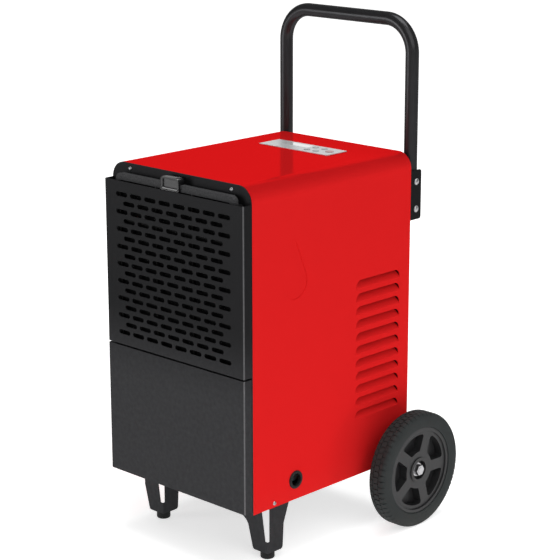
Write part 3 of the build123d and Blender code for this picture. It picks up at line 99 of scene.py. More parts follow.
class TreadSizes(bpy.types.PropertyGroup):
    """Sizes of the tyres' tread."""
    lugs: bpy.props.IntProperty(name="Lugs", description="Lugs in each row round a tyre", default=60, min=12)
    height: length("Lug height", "How far a lug stands on the carcass", 0.0015)
    gap: length("Gap", "Space between two rows of lugs", 0.0012)


class StageSizes(bpy.types.PropertyGroup):
    """Camera and lights."""
    lens: bpy.props.FloatProperty(name="Lens", description="Focal length", default=119.03, unit="CAMERA")
    sky: bpy.props.FloatProperty(name="Sky", description="Brightness of the sky overhead", default=0.10)


# ---------------------------------------------------------------- shader kit
class Wire:
    """One output socket, so that shader maths reads as plain expressions."""

    def __init__(self, nodes, socket):
        self.nodes, self.socket = nodes, socket

    def maths(self, operation, first, second):
        return self.nodes.maths_of(operation, first, second)

    def __add__(self, other):
        return self.maths("ADD", self, other)

    def __radd__(self, other):
        return self.maths("ADD", other, self)

    def __sub__(self, other):
        return self.maths("SUBTRACT", self, other)

    def __rsub__(self, other):
        return self.maths("SUBTRACT", other, self)

    def __mul__(self, other):
        return self.maths("MULTIPLY", self, other)

    def __rmul__(self, other):
        return self.maths("MULTIPLY", other, self)


class Outputs:
    """A node's output sockets by name or number."""

    def __init__(self, nodes, node):
        self.nodes, self.node = nodes, node

    def __getitem__(self, key):
        return Wire(self.nodes, self.node.outputs[key])


class Nodes:
    """A node tree under construction."""

    def __init__(self, tree):
        self.tree = tree
        self.tree.nodes.clear()

    def add(self, kind, settings, sockets):
        """A node of this kind, its settings first, then the values or links of its sockets."""
        node = self.tree.nodes.new(kind)
        for key, value in settings.items():
            setattr(node, key, value)
        for key, value in sockets.items():
            if isinstance(value, Wire):
                self.tree.links.new(value.socket, node.inputs[key])
            else:
                node.inputs[key].default_value = value
        return Outputs(self, node)

    def maths_of(self, operation, first, second=0.0):
        """A maths node that Python has no sign for."""
        return self.add("ShaderNodeMath", {"operation": operation}, {0: first, 1: second})[0]

    def ramp(self, value, low, high, bottom=0.0, top=1.0):
        """Smooth step of value from bottom to top."""
        return self.add("ShaderNodeMapRange", {"interpolation_type": "SMOOTHSTEP"},
                        {0: value, 1: low, 2: high, 3: bottom, 4: top})[0]

    def mix(self, mask, first, second):
        """Colour that goes from first to second with mask."""
        return self.add("ShaderNodeMix", {"data_type": "RGBA"},
                        {0: mask, 6: opaque(first), 7: opaque(second)})[2]


class Finish(Nodes):
    """A material under construction."""

    def __init__(self, name):
        self.material = bpy.data.materials.new(name)
        self.material.use_nodes = True
        super().__init__(self.material.node_tree)
        self.place = self.add("ShaderNodeTexCoord", {}, {})["Object"]

    def stretched(self, x, y, z):
        """Object coordinates with each axis scaled."""
        return self.add("ShaderNodeMapping", {}, {"Vector": self.place, "Scale": (x, y, z)})[0]

    def axis(self, name):
        """One of the object coordinates as a number."""
        return self.add("ShaderNodeSeparateXYZ", {}, {0: self.place})[name]

    def noise(self, grain, detail=2.0, vector=None):
        """Soft noise from 0 to 1; grain is the size of its spots in metres."""
        return self.add("ShaderNodeTexNoise", {}, {"Vector": vector or self.place, "Scale": 1 / grain,
                                                   "Detail": detail})["Fac"]

    def cells(self, grain, output="Distance", **settings):
        """Cell pattern; grain is the size of a cell in metres."""
        return self.add("ShaderNodeTexVoronoi", settings, {"Vector": self.place, "Scale": 1 / grain})[output]

    def drifting(self, mask, base, low, high):
        """The base colour, from low to high times its brightness with mask."""
        return self.mix(mask, shade_of(base, low), shade_of(base, high))

    def dusted(self, body, start, end, grain, amount, dust):
        """The body colour with patches of dust, from none at the height start to amount at the height end."""
        return self.mix(self.ramp(self.axis("Z"), start, end) * self.noise(grain, 4) * amount, body, dust)

    def bump(self, height, depth):
        """Normal from a height of 0 to 1 that stands for depth metres."""
        return self.add("ShaderNodeBump", {}, {"Height": height, "Distance": depth})[0]

    def grained(self, grain, depth):
        """Normal of a fine grain over one four times as coarse and half as high."""
        return self.bump(self.noise(grain, 2) + self.noise(grain * 4, 1) * 0.5, depth)

    def surface(self, base, sockets):
        """Close the material with one principled shader."""
        shader = self.add("ShaderNodeBsdfPrincipled", {}, {"Base Color": opaque(base), **sockets})["BSDF"]
        self.add("ShaderNodeOutputMaterial", {}, {"Surface": shader})
        return self.material


def opaque(shade):
    """A colour socket's value or wire, with alpha where it is a plain colour."""
    return shade if isinstance(shade, Wire) else (*tuple(shade)[:3], 1.0)


def shade_of(base, factor):
    return tuple(min(1.0, channel * factor) for channel in tuple(base)[:3])


# ---------------------------------------------------------------- finishes
# heights and places in metres between which a finish changes, among them where painted shade starts on the
# panels and the filter frame, and where the painted highlight lies along the panel folds
SHELL_BEND, PANEL_PAINTED_SHADE, FRAME_PAINTED_SHADE_EDGE = (0.668, 0.697), (0.30, 0.46), (0.664, 0.671)
FOLD_X, FOLD_Y = (0.1728, 0.1742), (-0.2515, -0.2535)
SPLASH_HEIGHT = 0.16
# colours that it changes to: painted shade on the shell's top, a painted highlight along the panel folds, and
# dust
SHELL_TOP_PAINTED_SHADE, FOLD_PAINTED_HIGHLIGHT = (0.65, 0.0125, 0.0140), (0.16, 0.16, 0.165)
SHEET_DUST, TYRE_DUST = (0.30, 0.27, 0.23), (0.22, 0.20, 0.17)
BLACK, WHITE = (0, 0, 0), (1, 1, 1)


def coated(name, base, mottle=0.1, mottle_size=0.06, rough=0.3, rough_swing=0.05, grain=0.0012,
           depth=0.00002, specular=0.5, dust=0.0, pigment=0.0, tint=WHITE):
    """Painted or powder-coated metal: slow colour drift, uneven gloss and a fine surface grain."""
    finish = Finish(name)
    body = finish.drifting(finish.noise(mottle_size, 4), base, 1 - mottle, 1 + mottle)
    if dust:
        body = finish.dusted(body, SPLASH_HEIGHT, 0.0, 0.012, dust, SHEET_DUST)
    gloss = finish.noise(0.018, 3) * rough_swing + (rough - rough_swing / 2)
    return finish.surface(body, {"Roughness": gloss, "Normal": finish.grained(grain, depth),
                                 "Specular IOR Level": specular, "Metallic": pigment,
                                 "Specular Tint": (*tint, 1)})


def glossy(name, base):
    """Deep gloss paint whose metallic part is strongest on the top, where it mirrors the handle; its colour
    there is painted darker as shade.
    """
    finish = Finish(name)
    top = finish.ramp(finish.axis("Z"), *SHELL_BEND)
    drift = finish.noise(0.2, 4)
    # the top blends to a darker red: painted shade
    body = finish.mix(top, finish.drifting(drift, base, 0.98, 1.02), SHELL_TOP_PAINTED_SHADE)
    body = finish.dusted(body, SPLASH_HEIGHT, 0.11, 0.012, 0.02, SHEET_DUST)
    return finish.surface(body, {"Roughness": drift * 0.03 + 0.09, "Metallic": top * 0.31 + 0.04,
                                 "Normal": finish.grained(0.0016, 0.0000012),
                                 "Specular IOR Level": 0.0, "Specular Tint": (1.0, 0.0, 0.01, 1)})


def textured(name, base):
    """Fine black powder coat: tiny pits, painted shade that darkens it high up, and a painted highlight where
    the front folds meet the sides.
    """
    finish = Finish(name)
    body = finish.drifting(finish.noise(0.008, 4), base, 0.72, 1.28)
    # painted shade: the coat is darkened towards the top
    body = finish.mix(finish.ramp(finish.axis("Z"), *PANEL_PAINTED_SHADE), body, shade_of(base, 0.46))
    # a pale line painted along the front folds as a highlight, not wear
    across = finish.maths_of("ABSOLUTE", finish.axis("X"))
    fold_highlight = finish.ramp(across, *FOLD_X) * finish.ramp(finish.axis("Y"), *FOLD_Y)
    body = finish.mix(fold_highlight * (finish.noise(0.004, 3) * 0.5 + 0.5), body, FOLD_PAINTED_HIGHLIGHT)
    return finish.surface(body, {"Roughness": finish.noise(0.018, 3) * 0.1 + 0.36,
                                 "Normal": finish.grained(0.0007, 0.00004), "Metallic": 0.5,
                                 "Specular IOR Level": 0.08, "Specular Tint": (*BLACK, 1)})


def moulded(name, base, rough=0.45, grain=0.0008, depth=0.00003, specular=0.5):
    """Injection-moulded plastic: even colour, spark-eroded grain and faint flow marks."""
    finish = Finish(name)
    flow = finish.noise(0.03, 2, finish.stretched(1, 1, 0.25))
    pits = finish.cells(grain, feature="SMOOTH_F1")
    return finish.surface(finish.drifting(flow, base, 0.92, 1.08), {
        "Roughness": flow * 0.08 + (rough - 0.04), "Normal": finish.bump(pits, depth),
        "Specular IOR Level": specular})


def ribbed(name):
    """Coarse-grained filter frame: dusty grey along its exposed top edge, and near black inside the grille as
    painted shade.
    """
    finish = Finish(name)
    # below its exposed edge the frame is painted near black: painted shade behind the grille
    above_painted_shade = finish.ramp(finish.axis("Z"), *FRAME_PAINTED_SHADE_EDGE)
    body = finish.mix(above_painted_shade, (0.0035, 0.0035, 0.0035), (0.030, 0.030, 0.031))
    body = finish.mix(finish.noise(0.0022, 3) * above_painted_shade, body, (0.075, 0.075, 0.078))
    return finish.surface(body, {"Roughness": above_painted_shade * 0.1 + 0.5, "Specular IOR Level": 0.04,
                                 "Normal": finish.bump(finish.cells(0.0035), 0.0009)})


def metal(name, base, rough=0.3, brushed=(1, 1, 1), stain=0.12):
    """Bare or plated metal with a brushed or tumbled grain and slight staining."""
    finish = Finish(name)
    spots = finish.noise(0.009, 5)
    lines = finish.noise(0.0009, 3, finish.stretched(*brushed))
    return finish.surface(finish.drifting(spots, base, 1 - stain, 1 + stain / 2), {
        "Roughness": spots * 0.14 + lines * 0.08 + (rough - 0.11), "Metallic": 1.0,
        "Normal": finish.bump(lines, 0.00001)})


def spangled(name):
    """Hot-dip galvanised sheet: grey crystals that each shine a little differently."""
    finish = Finish(name)
    tone = finish.add("ShaderNodeSeparateColor", {}, {0: finish.cells(1 / 110, "Color")})
    body = finish.mix(tone["Red"], (0.42, 0.43, 0.45), (0.62, 0.63, 0.65))
    return finish.surface(body, {"Metallic": 1.0, "Roughness": tone["Green"] * 0.2 + 0.32,
                                 "Normal": finish.bump(tone["Blue"], 0.000015)})


def woven(name):
    """Filter fabric: a square weave of thin dark threads with open corners, darkened to near black partly as
    painted shade behind the grille.
    """
    finish = Finish(name)
    waves = 2 * pi / 0.0016  # one thread is 1.6 mm from the next
    warp = finish.maths_of("SINE", finish.axis("X") * waves) * 0.5 + 0.5
    weft = finish.maths_of("SINE", finish.axis("Z") * waves) * 0.5 + 0.5
    thread = finish.maths_of("MAXIMUM", warp, weft)
    # thread colours near black: the fabric's own dark colour, darkened further as painted shade behind the
    # grille
    body = finish.mix(thread, (0.001, 0.001, 0.001), (0.0045, 0.0045, 0.005))
    return finish.surface(body, {"Roughness": 0.7, "Normal": finish.bump(thread, 0.0002),
                                 "Specular IOR Level": 0.03,
                                 "Alpha": finish.ramp(thread, 0.35, 0.6, 0.55, 1.0)})


def rubber(name, base, rough=0.7, dust=0.0):
    """Rubber: matt, slightly uneven, with dust where it meets the floor."""
    finish = Finish(name)
    bloom = finish.noise(0.02, 5)
    body = finish.drifting(bloom, base, 0.8, 1.25)
    if dust:
        body = finish.dusted(body, 0.05, 0.0, 0.006, dust, TYRE_DUST)
    return finish.surface(body, {"Roughness": bloom * 0.12 + (rough - 0.06),
                                 "Normal": finish.bump(finish.noise(0.0011, 3), 0.00006),
                                 "Specular IOR Level": 0.15})


def foamy(name):
    """Closed-cell foam of the float."""
    finish = Finish(name)
    beads = finish.cells(0.0022)
    return finish.surface(finish.mix(beads, (0.86, 0.86, 0.84), (0.66, 0.66, 0.65)),
                          {"Roughness": 0.85, "Normal": finish.bump(1 - beads, 0.0003)})


def circuit(name):
    """Circuit board with its tracks under green lacquer."""
    finish = Finish(name)
    tracks = finish.add("ShaderNodeTexBrick", {"offset": 0.5}, {"Vector": finish.place, "Scale": 160.0,
                                                                "Mortar Size": 0.03})["Fac"]
    return finish.surface(finish.mix(tracks, (0.010, 0.11, 0.035), (0.05, 0.24, 0.09)),
                          {"Roughness": 0.28, "Normal": finish.bump(tracks, 0.00004)})


def tinted(name):
    """Clear window over a pale display."""
    finish = Finish(name)
    haze = finish.noise(0.012, 3)
    return finish.surface(finish.mix(haze, (0.74, 0.76, 0.76), (0.82, 0.84, 0.84)),
                          {"Roughness": haze * 0.05 + 0.06, "Coat Weight": 1.0, "Coat Roughness": 0.03})


def foil(name, base):
    """Satin printed film on the control panel."""
    finish = Finish(name)
    flecks = finish.noise(0.0006, 2)
    return finish.surface(finish.drifting(flecks, base, 0.94, 1.06),
                          {"Roughness": finish.noise(0.01, 2) * 0.08 + 0.30, "Metallic": 0.35,
                           "Normal": finish.bump(flecks, 0.000012)})


def smoked(name):
    """Half-clear tank plastic."""
    finish = Finish(name)
    flow = finish.noise(0.05, 3)
    return finish.surface(finish.mix(flow, (0.36, 0.38, 0.40), (0.46, 0.48, 0.50)),
                          {"Roughness": flow * 0.1 + 0.32,
                           "Normal": finish.bump(finish.noise(0.0012), 0.00002),
                           "Subsurface Weight": 0.25, "Subsurface Scale": 0.01})


MAKERS = {
    "shell_red": lambda name, c: glossy(name, c.shell),
    "panel_black": lambda name, c: textured(name, c.panel),
    "handle_black": lambda name, c: coated(name, c.handle, mottle_size=0.03, rough=0.24, rough_swing=0.06,
                                           grain=0.0018, depth=0.000008, specular=0.12, pigment=0.6,
                                           tint=BLACK),
    "galvanised": lambda name, c: spangled(name),
    "zinc_fastener": lambda name, c: metal(name, (0.46, 0.46, 0.47), rough=0.34),
    "black_steel": lambda name, c: coated(name, (0.020, 0.020, 0.021), mottle=0.2, mottle_size=0.012,
                                          rough=0.42, rough_swing=0.12, grain=0.001, depth=0.00003,
                                          specular=0.12, dust=0.06, pigment=0.4, tint=BLACK),
    "rubber_black": lambda name, c: rubber(name, (0.016, 0.016, 0.016), rough=0.6),
    "tyre_rubber": lambda name, c: rubber(name, c.tyre, rough=0.75, dust=0.12),
    "wheel_plastic": lambda name, c: moulded(name, c.wheel, rough=0.42, grain=0.0011, depth=0.00005,
                                             specular=0.3),
    "filter_plastic": lambda name, c: ribbed(name),
    "filter_fabric": lambda name, c: woven(name),
    "tab_plastic": lambda name, c: moulded(name, (0.006, 0.006, 0.0065), rough=0.22, grain=0.002,
                                           depth=0.000004, specular=0.6),
    "tank_plastic": lambda name, c: smoked(name),
    "white_plastic": lambda name, c: moulded(name, (0.72, 0.72, 0.70), rough=0.4),
    "foam_float": lambda name, c: foamy(name),
    "copper": lambda name, c: metal(name, (0.80, 0.36, 0.20), rough=0.28, stain=0.3),
    "aluminium_fin": lambda name, c: metal(name, (0.78, 0.79, 0.80), rough=0.34, brushed=(1, 0.05, 1),
                                           stain=0.1),
    "compressor_black": lambda name, c: coated(name, (0.012, 0.012, 0.013), mottle=0.2, mottle_size=0.03,
                                               rough=0.26, rough_swing=0.1, grain=0.002),
    "motor_metal": lambda name, c: metal(name, (0.46, 0.47, 0.48), rough=0.42, brushed=(1, 0.1, 1),
                                         stain=0.2),
    "board_green": lambda name, c: circuit(name),
    "panel_grey": lambda name, c: foil(name, c.keypad),
    "window_glass": lambda name, c: tinted(name),
    "key_plastic": lambda name, c: moulded(name, (0.36, 0.37, 0.38), rough=0.4),
    "key_accent": lambda name, c: moulded(name, (0.40, 0.24, 0.24), rough=0.35),
}
finished = {}
slot_named = {name: node.material_slots[0].material.name for name, node in frame["nodes"].items()}


def finish_of(slot):
    """The material of a slot, made when it is first asked for."""
    if slot not in finished:
        finished[slot] = MAKERS[slot](slot + "_finish", bpy.context.scene.machine_colours)
    return finished[slot]


# ---------------------------------------------------------------- modelling kit
def alone(piece=None):
    """Leave only this piece selected, in object mode."""
    if bpy.context.object and bpy.context.object.mode != "OBJECT":
        bpy.ops.object.mode_set(mode="OBJECT")
    bpy.ops.object.select_all(action="DESELECT")
    if piece:
        piece.select_set(True)
        bpy.context.view_layer.objects.active = piece


@contextmanager
def shaping(piece):
    """Edit mode on one piece with nothing selected."""
    alone(piece)
    bpy.ops.object.mode_set(mode="EDIT")
    bpy.ops.mesh.select_mode(type="VERT")
    bpy.ops.mesh.select_all(action="DESELECT")
    yield
    bpy.ops.object.mode_set(mode="OBJECT")


def pick(piece, kind, test):
    """Select the faces, edges or corners whose middle and direction pass the test."""
    mesh = bmesh.from_edit_mesh(piece.data)
    bpy.ops.mesh.select_mode(type=kind)
    bpy.ops.mesh.select_all(action="DESELECT")
    if kind == "FACE":
        chosen = [face for face in mesh.faces if test(face.calc_center_median(), face.normal)]
    elif kind == "EDGE":
        ends = {edge: (edge.verts[0].co, edge.verts[1].co) for edge in mesh.edges}
        chosen = [edge for edge, (a, b) in ends.items() if test((a + b) / 2, (b - a).normalized())]
    else:
        chosen = [corner for corner in mesh.verts if test(corner.co, corner.normal)]
    for part in chosen:
        part.select_set(True)
    bmesh.update_edit_mesh(piece.data)


def settle(piece):
    """Put the piece's place, turn and scale into its mesh."""
    alone(piece)
    bpy.ops.object.transform_apply(location=True, rotation=True, scale=True)


def start(name, primitive, scale=(1, 1, 1), **settings):
    """A primitive at its size and place, ready to be shaped."""
    alone()
    primitive(**settings)
    piece = bpy.context.object
    piece.name = piece.data.name = name
    piece.scale = scale
    settle(piece)
    return piece


def modified(piece, kind, **settings):
    """Add a modifier and apply it."""
    alone(piece)
    modifier = piece.modifiers.new(kind.lower(), kind)
    for key, value in settings.items():
        setattr(modifier, key, value)
    bpy.ops.object.modifier_apply(modifier=modifier.name)


def twin(piece, name, matrix):
    """A copy with its own mesh, placed by matrix."""
    alone(piece)
    bpy.ops.object.duplicate(linked=False)
    other = bpy.context.object
    other.name = other.data.name = name
    other.matrix_world = matrix @ other.matrix_world
    settle(other)
    return other


def joined(name, pieces):
    """Several pieces made one."""
    alone(pieces[0])
    for piece in pieces[1:]:
        piece.select_set(True)
    if len(pieces) > 1:
        bpy.ops.object.join()
    pieces[0].name = pieces[0].data.name = name
    return pieces[0]


def outward(piece):
    """Merge doubles and turn all faces outwards."""
    with shaping(piece):
        bpy.ops.mesh.select_all(action="SELECT")
        bpy.ops.mesh.remove_doubles(threshold=NEAR)
        bpy.ops.mesh.normals_make_consistent(inside=False)


def place_piece(piece, slot, body, *nodes, angle=35, flats=False):
    """Smooth, finish and hang a finished piece on its body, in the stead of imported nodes."""
    alone(piece)
    bpy.ops.object.shade_smooth_by_angle(angle=radians(angle))
    if flats:
        modified(piece, "WEIGHTED_NORMAL", mode="FACE_AREA", weight=100, keep_sharp=True)
    piece.data.materials.clear()
    piece.data.materials.append(finish_of(slot))
    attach(piece, body)
    if nodes:
        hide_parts(*nodes)
    return piece


def body_of(node):
    """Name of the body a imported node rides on."""
    return frame["nodes"][node]["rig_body"]


def merged_copy(node, name):
    """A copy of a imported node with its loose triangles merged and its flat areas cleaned."""
    source = frame["nodes"][node]
    source.hide_viewport = False
    piece = bpy.data.objects.new(name, source.data.copy())
    bpy.context.scene.collection.objects.link(piece)
    alone(piece)
    bpy.ops.mesh.customdata_custom_splitnormals_clear()
    with shaping(piece):
        bpy.ops.mesh.select_all(action="SELECT")
        bpy.ops.mesh.remove_doubles(threshold=CAD_NEAR)
        bpy.ops.mesh.dissolve_limited(angle_limit=radians(0.5))
    return piece


def centre_of(node):
    """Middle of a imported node's box."""
    low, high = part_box(node)
    return (low + high) / 2


def upper_half(piece, height=0):
    """Cut off what lies below this height and close the cut."""
    with shaping(piece):
        bpy.ops.mesh.select_all(action="SELECT")
        bpy.ops.mesh.bisect(plane_co=(0, 0, height), plane_no=(0, 0, 1), use_fill=True, clear_inner=True)


def pointed(way):
    """Matrix that turns +Z to this direction."""
    return way.to_track_quat("Z", "Y").to_matrix().to_4x4()


def islands(node):
    """(lowest, highest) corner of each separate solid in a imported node."""
    mesh = bmesh.new()
    mesh.from_mesh(frame["nodes"][node].data)
    bmesh.ops.remove_doubles(mesh, verts=mesh.verts, dist=CAD_NEAR)
    waiting, boxes = set(mesh.verts), []
    while waiting:
        grown, solid = [waiting.pop()], []
        while grown:
            corner = grown.pop()
            solid.append(corner.co.copy())
            for edge in corner.link_edges:
                other = edge.other_vert(corner)
                if other in waiting:
                    waiting.discard(other)
                    grown.append(other)
        boxes.append((Vector(map(min, *solid)), Vector(map(max, *solid))))
    mesh.free()
    return boxes


# ---------------------------------------------------------------- operators
class Workshop:
    """What every operator of this file shares."""
    bl_options = {"REGISTER", "UNDO"}


class OBJECT_OT_dry_nodes(Workshop, bpy.types.Operator):
    """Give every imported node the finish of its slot"""
    bl_idname = "object.dry_nodes"
    bl_label = "Finishes"

    def execute(self, context):
        for name, node in frame["nodes"].items():
            for holder in node.material_slots:
                holder.material = finish_of(slot_named[name])
        return {"FINISHED"}


# rounding of the visible edges of each sheet node
SOFT_EDGES = {"front_frame": 0.0004, "inlet_grille": 0.0005, "tank_front": 0.0006,
              "handle_brackets": 0.0005, "front_leg_left": 0.0005, "front_leg_right": 0.0005,
              "control_panel": 0.0003, "rear_panel": 0.0004, "base_pan": 0.0005, "drain_grommet": 0.0004,
              "axle_nuts": 0.0005}


class OBJECT_OT_dry_sheet(Workshop, bpy.types.Operator):
    """Round the cut and folded edges of the visible sheet metal"""
    bl_idname = "object.dry_sheet"
    bl_label = "Sheet metal"

    def execute(self, context):
        for node, width in SOFT_EDGES.items():
            piece = merged_copy(node, node + "_sheet")
            modified(piece, "BEVEL", width=width, segments=2, limit_method="ANGLE", angle_limit=radians(32),
                     use_clamp_overlap=False, harden_normals=False)
            place_piece(piece, slot_named[node], body_of(node), node, flats=True)
        return {"FINISHED"}


CROWN_ROUND, BEAD_ROUND = 0.008, 0.0015  # roundings of the carcass outside and at the rim
LUG_DEPTH, SHOULDER_DEPTH, SHOULDER_ROUND = 0.004, 0.008, 0.0062  # middle and outer lugs
LUG_FILL, LUG_EDGE = 0.86, 0.0005  # share of the pitch that a lug takes, and its broken edges


class OBJECT_OT_dry_tyres(Workshop, bpy.types.Operator):
    """Model the rubber tyres with their rows of lugs"""
    bl_idname = "object.dry_tyres"
    bl_label = "Tyres"

    def carcass(self, centre, width, crown, bore):
        """The tyre without its lugs: a rounded section spun about the axle."""
        piece = start("tyre_right_rubber", bpy.ops.mesh.primitive_plane_add, (width, crown - bore, 1), size=1,
                      location=centre + Vector((0, 0, (crown + bore) / 2)), rotation=(pi / 2, 0, 0))
        with shaping(piece):
            for edge, rounding, segments in ((crown, CROWN_ROUND, 6), (bore, BEAD_ROUND, 2)):
                level = centre.z + edge
                pick(piece, "VERT", lambda at, _: abs(at.z - level) < MM)
                bpy.ops.mesh.bevel(offset=rounding, segments=segments, affect="VERTICES")
            bpy.ops.mesh.select_all(action="SELECT")
            bpy.ops.mesh.delete(type="ONLY_FACE")
            bpy.ops.mesh.select_all(action="SELECT")
            bpy.ops.mesh.spin(steps=128, angle=2 * pi, center=centre, axis=(1, 0, 0))
        outward(piece)
        return piece

    def lug_row(self, side, centre, offset, radius, row, lugs):
        """One row of lugs round the tyre; side is -1 or 1 for the shoulders and 0 for the middle."""
        depth = SHOULDER_DEPTH if side else LUG_DEPTH
        top = centre.z + radius - NEAR
        outer, inner = centre.x + offset + side * row / 2, row / 2 - NEAR
        lug = start("lug", bpy.ops.mesh.primitive_cube_add, (row, LUG_FILL * 2 * pi * radius / lugs, depth),
                    size=1, location=centre + Vector((offset, 0, radius - depth / 2)))
        with shaping(lug):
            if side:
                pick(lug, "EDGE", lambda at, way: abs(at.x - outer) < NEAR and abs(way.y) > 0.9
                     and at.z > top)
                bpy.ops.mesh.bevel(offset=SHOULDER_ROUND, segments=4, affect="EDGES")
            pick(lug, "EDGE", lambda at, way: at.z > top and abs(at.x - centre.x - offset) < inner
                 or abs(way.z) > 0.9)
            bpy.ops.mesh.bevel(offset=LUG_EDGE, segments=1, affect="EDGES")
            bpy.ops.mesh.select_all(action="SELECT")
            bpy.ops.mesh.spin(steps=lugs - 1, dupli=True, angle=2 * pi * (1 - 1 / lugs), center=centre,
                              axis=(1, 0, 0))
        if not side:
            lug.matrix_world = (Matrix.Translation(centre) @ Matrix.Rotation(pi / lugs, 4, "X")
                                @ Matrix.Translation(-centre))
            settle(lug)
        return lug

    def execute(self, context):
        tread = context.scene.machine_tread
        low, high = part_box("tyre_right")
        rim_low, rim_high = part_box("wheel_rim_right")
        centre, width, radius = (low + high) / 2, high.x - low.x, (high.z - low.z) / 2
        rubber_pieces = [self.carcass(centre, width, radius - tread.height, (rim_high.z - rim_low.z) / 2)]
        row = (width - 2 * tread.gap - MM) / 3
        for side in (-1, 0, 1):
            offset = side * (row + tread.gap)
            rubber_pieces.append(self.lug_row(side, centre, offset, radius, row, tread.lugs))
        tyre = joined("tyre_right_rubber", rubber_pieces)
        other = twin(tyre, "tyre_left_rubber", Matrix.Translation((-2 * centre.x, 0, 0)))
        place_piece(tyre, "tyre_rubber", body_of("tyre_right"), "tyre_right")
        place_piece(other, "tyre_rubber", body_of("tyre_left"), "tyre_left")
        return {"FINISHED"}


TAB_TOP_ROUND, TAB_FOOT_ROUND, TAB_EDGE = 0.008, 0.002, 0.0003
# width and depth of the rim, the face inside it and the recess wall
TAB_INSETS = (0.0018, -0.0009), (0.0026, 0.0), (0.0008, -0.0026)
TAB_SKIN = 0.0001  # what lies this close to the front or the foot belongs to it


class OBJECT_OT_dry_tab(Workshop, bpy.types.Operator):
    """Model the filter's pull tab with its raised rim and finger recess"""
    bl_idname = "object.dry_tab"
    bl_label = "Pull tab"

    def execute(self, context):
        low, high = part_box("pull_tab")
        size, middle = high - low, (low + high) / 2
        foot, front = low.z + TAB_SKIN, low.y + TAB_SKIN
        grip = start("pull_tab_grip", bpy.ops.mesh.primitive_cube_add, size, size=1, location=middle)
        with shaping(grip):
            pick(grip, "EDGE", lambda at, way: abs(way.y) > 0.9 and at.z > middle.z)
            bpy.ops.mesh.bevel(offset=TAB_TOP_ROUND, segments=6, affect="EDGES")
            pick(grip, "EDGE", lambda at, way: abs(way.y) > 0.9 and at.z < foot)
            bpy.ops.mesh.bevel(offset=TAB_FOOT_ROUND, segments=3, affect="EDGES")
            pick(grip, "FACE", lambda at, normal: normal.y < -0.9 and at.y < front)
            for thickness, depth in TAB_INSETS:
                bpy.ops.mesh.inset(thickness=thickness, depth=depth)
            pick(grip, "EDGE", lambda at, way: at.y < front + MM and abs(way.y) < 0.1)
            bpy.ops.mesh.bevel(offset=TAB_EDGE, segments=2, affect="EDGES")
        outward(grip)
        place_piece(grip, "tab_plastic", body_of("pull_tab"), "pull_tab", angle=30)
        return {"FINISHED"}


SCREW_RADIUS, SCREW_FLATTEN, SCREW_CUT = 0.004, 0.62, 0.0004
RECESS, RECESS_HEIGHT, RECESS_TURN = (0.0044, 0.0009, 0.0022), 0.0026, 0.4
SCREW_SEAT = 0.0024  # from a packed screw's outer end down to where its head sits
BOLT_RADIUS, WASHER_SPREAD, WASHER_THICK = 0.0055, 1.12, 0.0008
NUT_RADIUS, NUT_HEIGHT, NUT_EDGE = 0.0058, 0.005, 0.0006
SHANK_RADIUS, SHANK_LENGTH, SHANK_RISE = 0.0029, 0.0075, 0.001
TUBE_THICK = 0.025


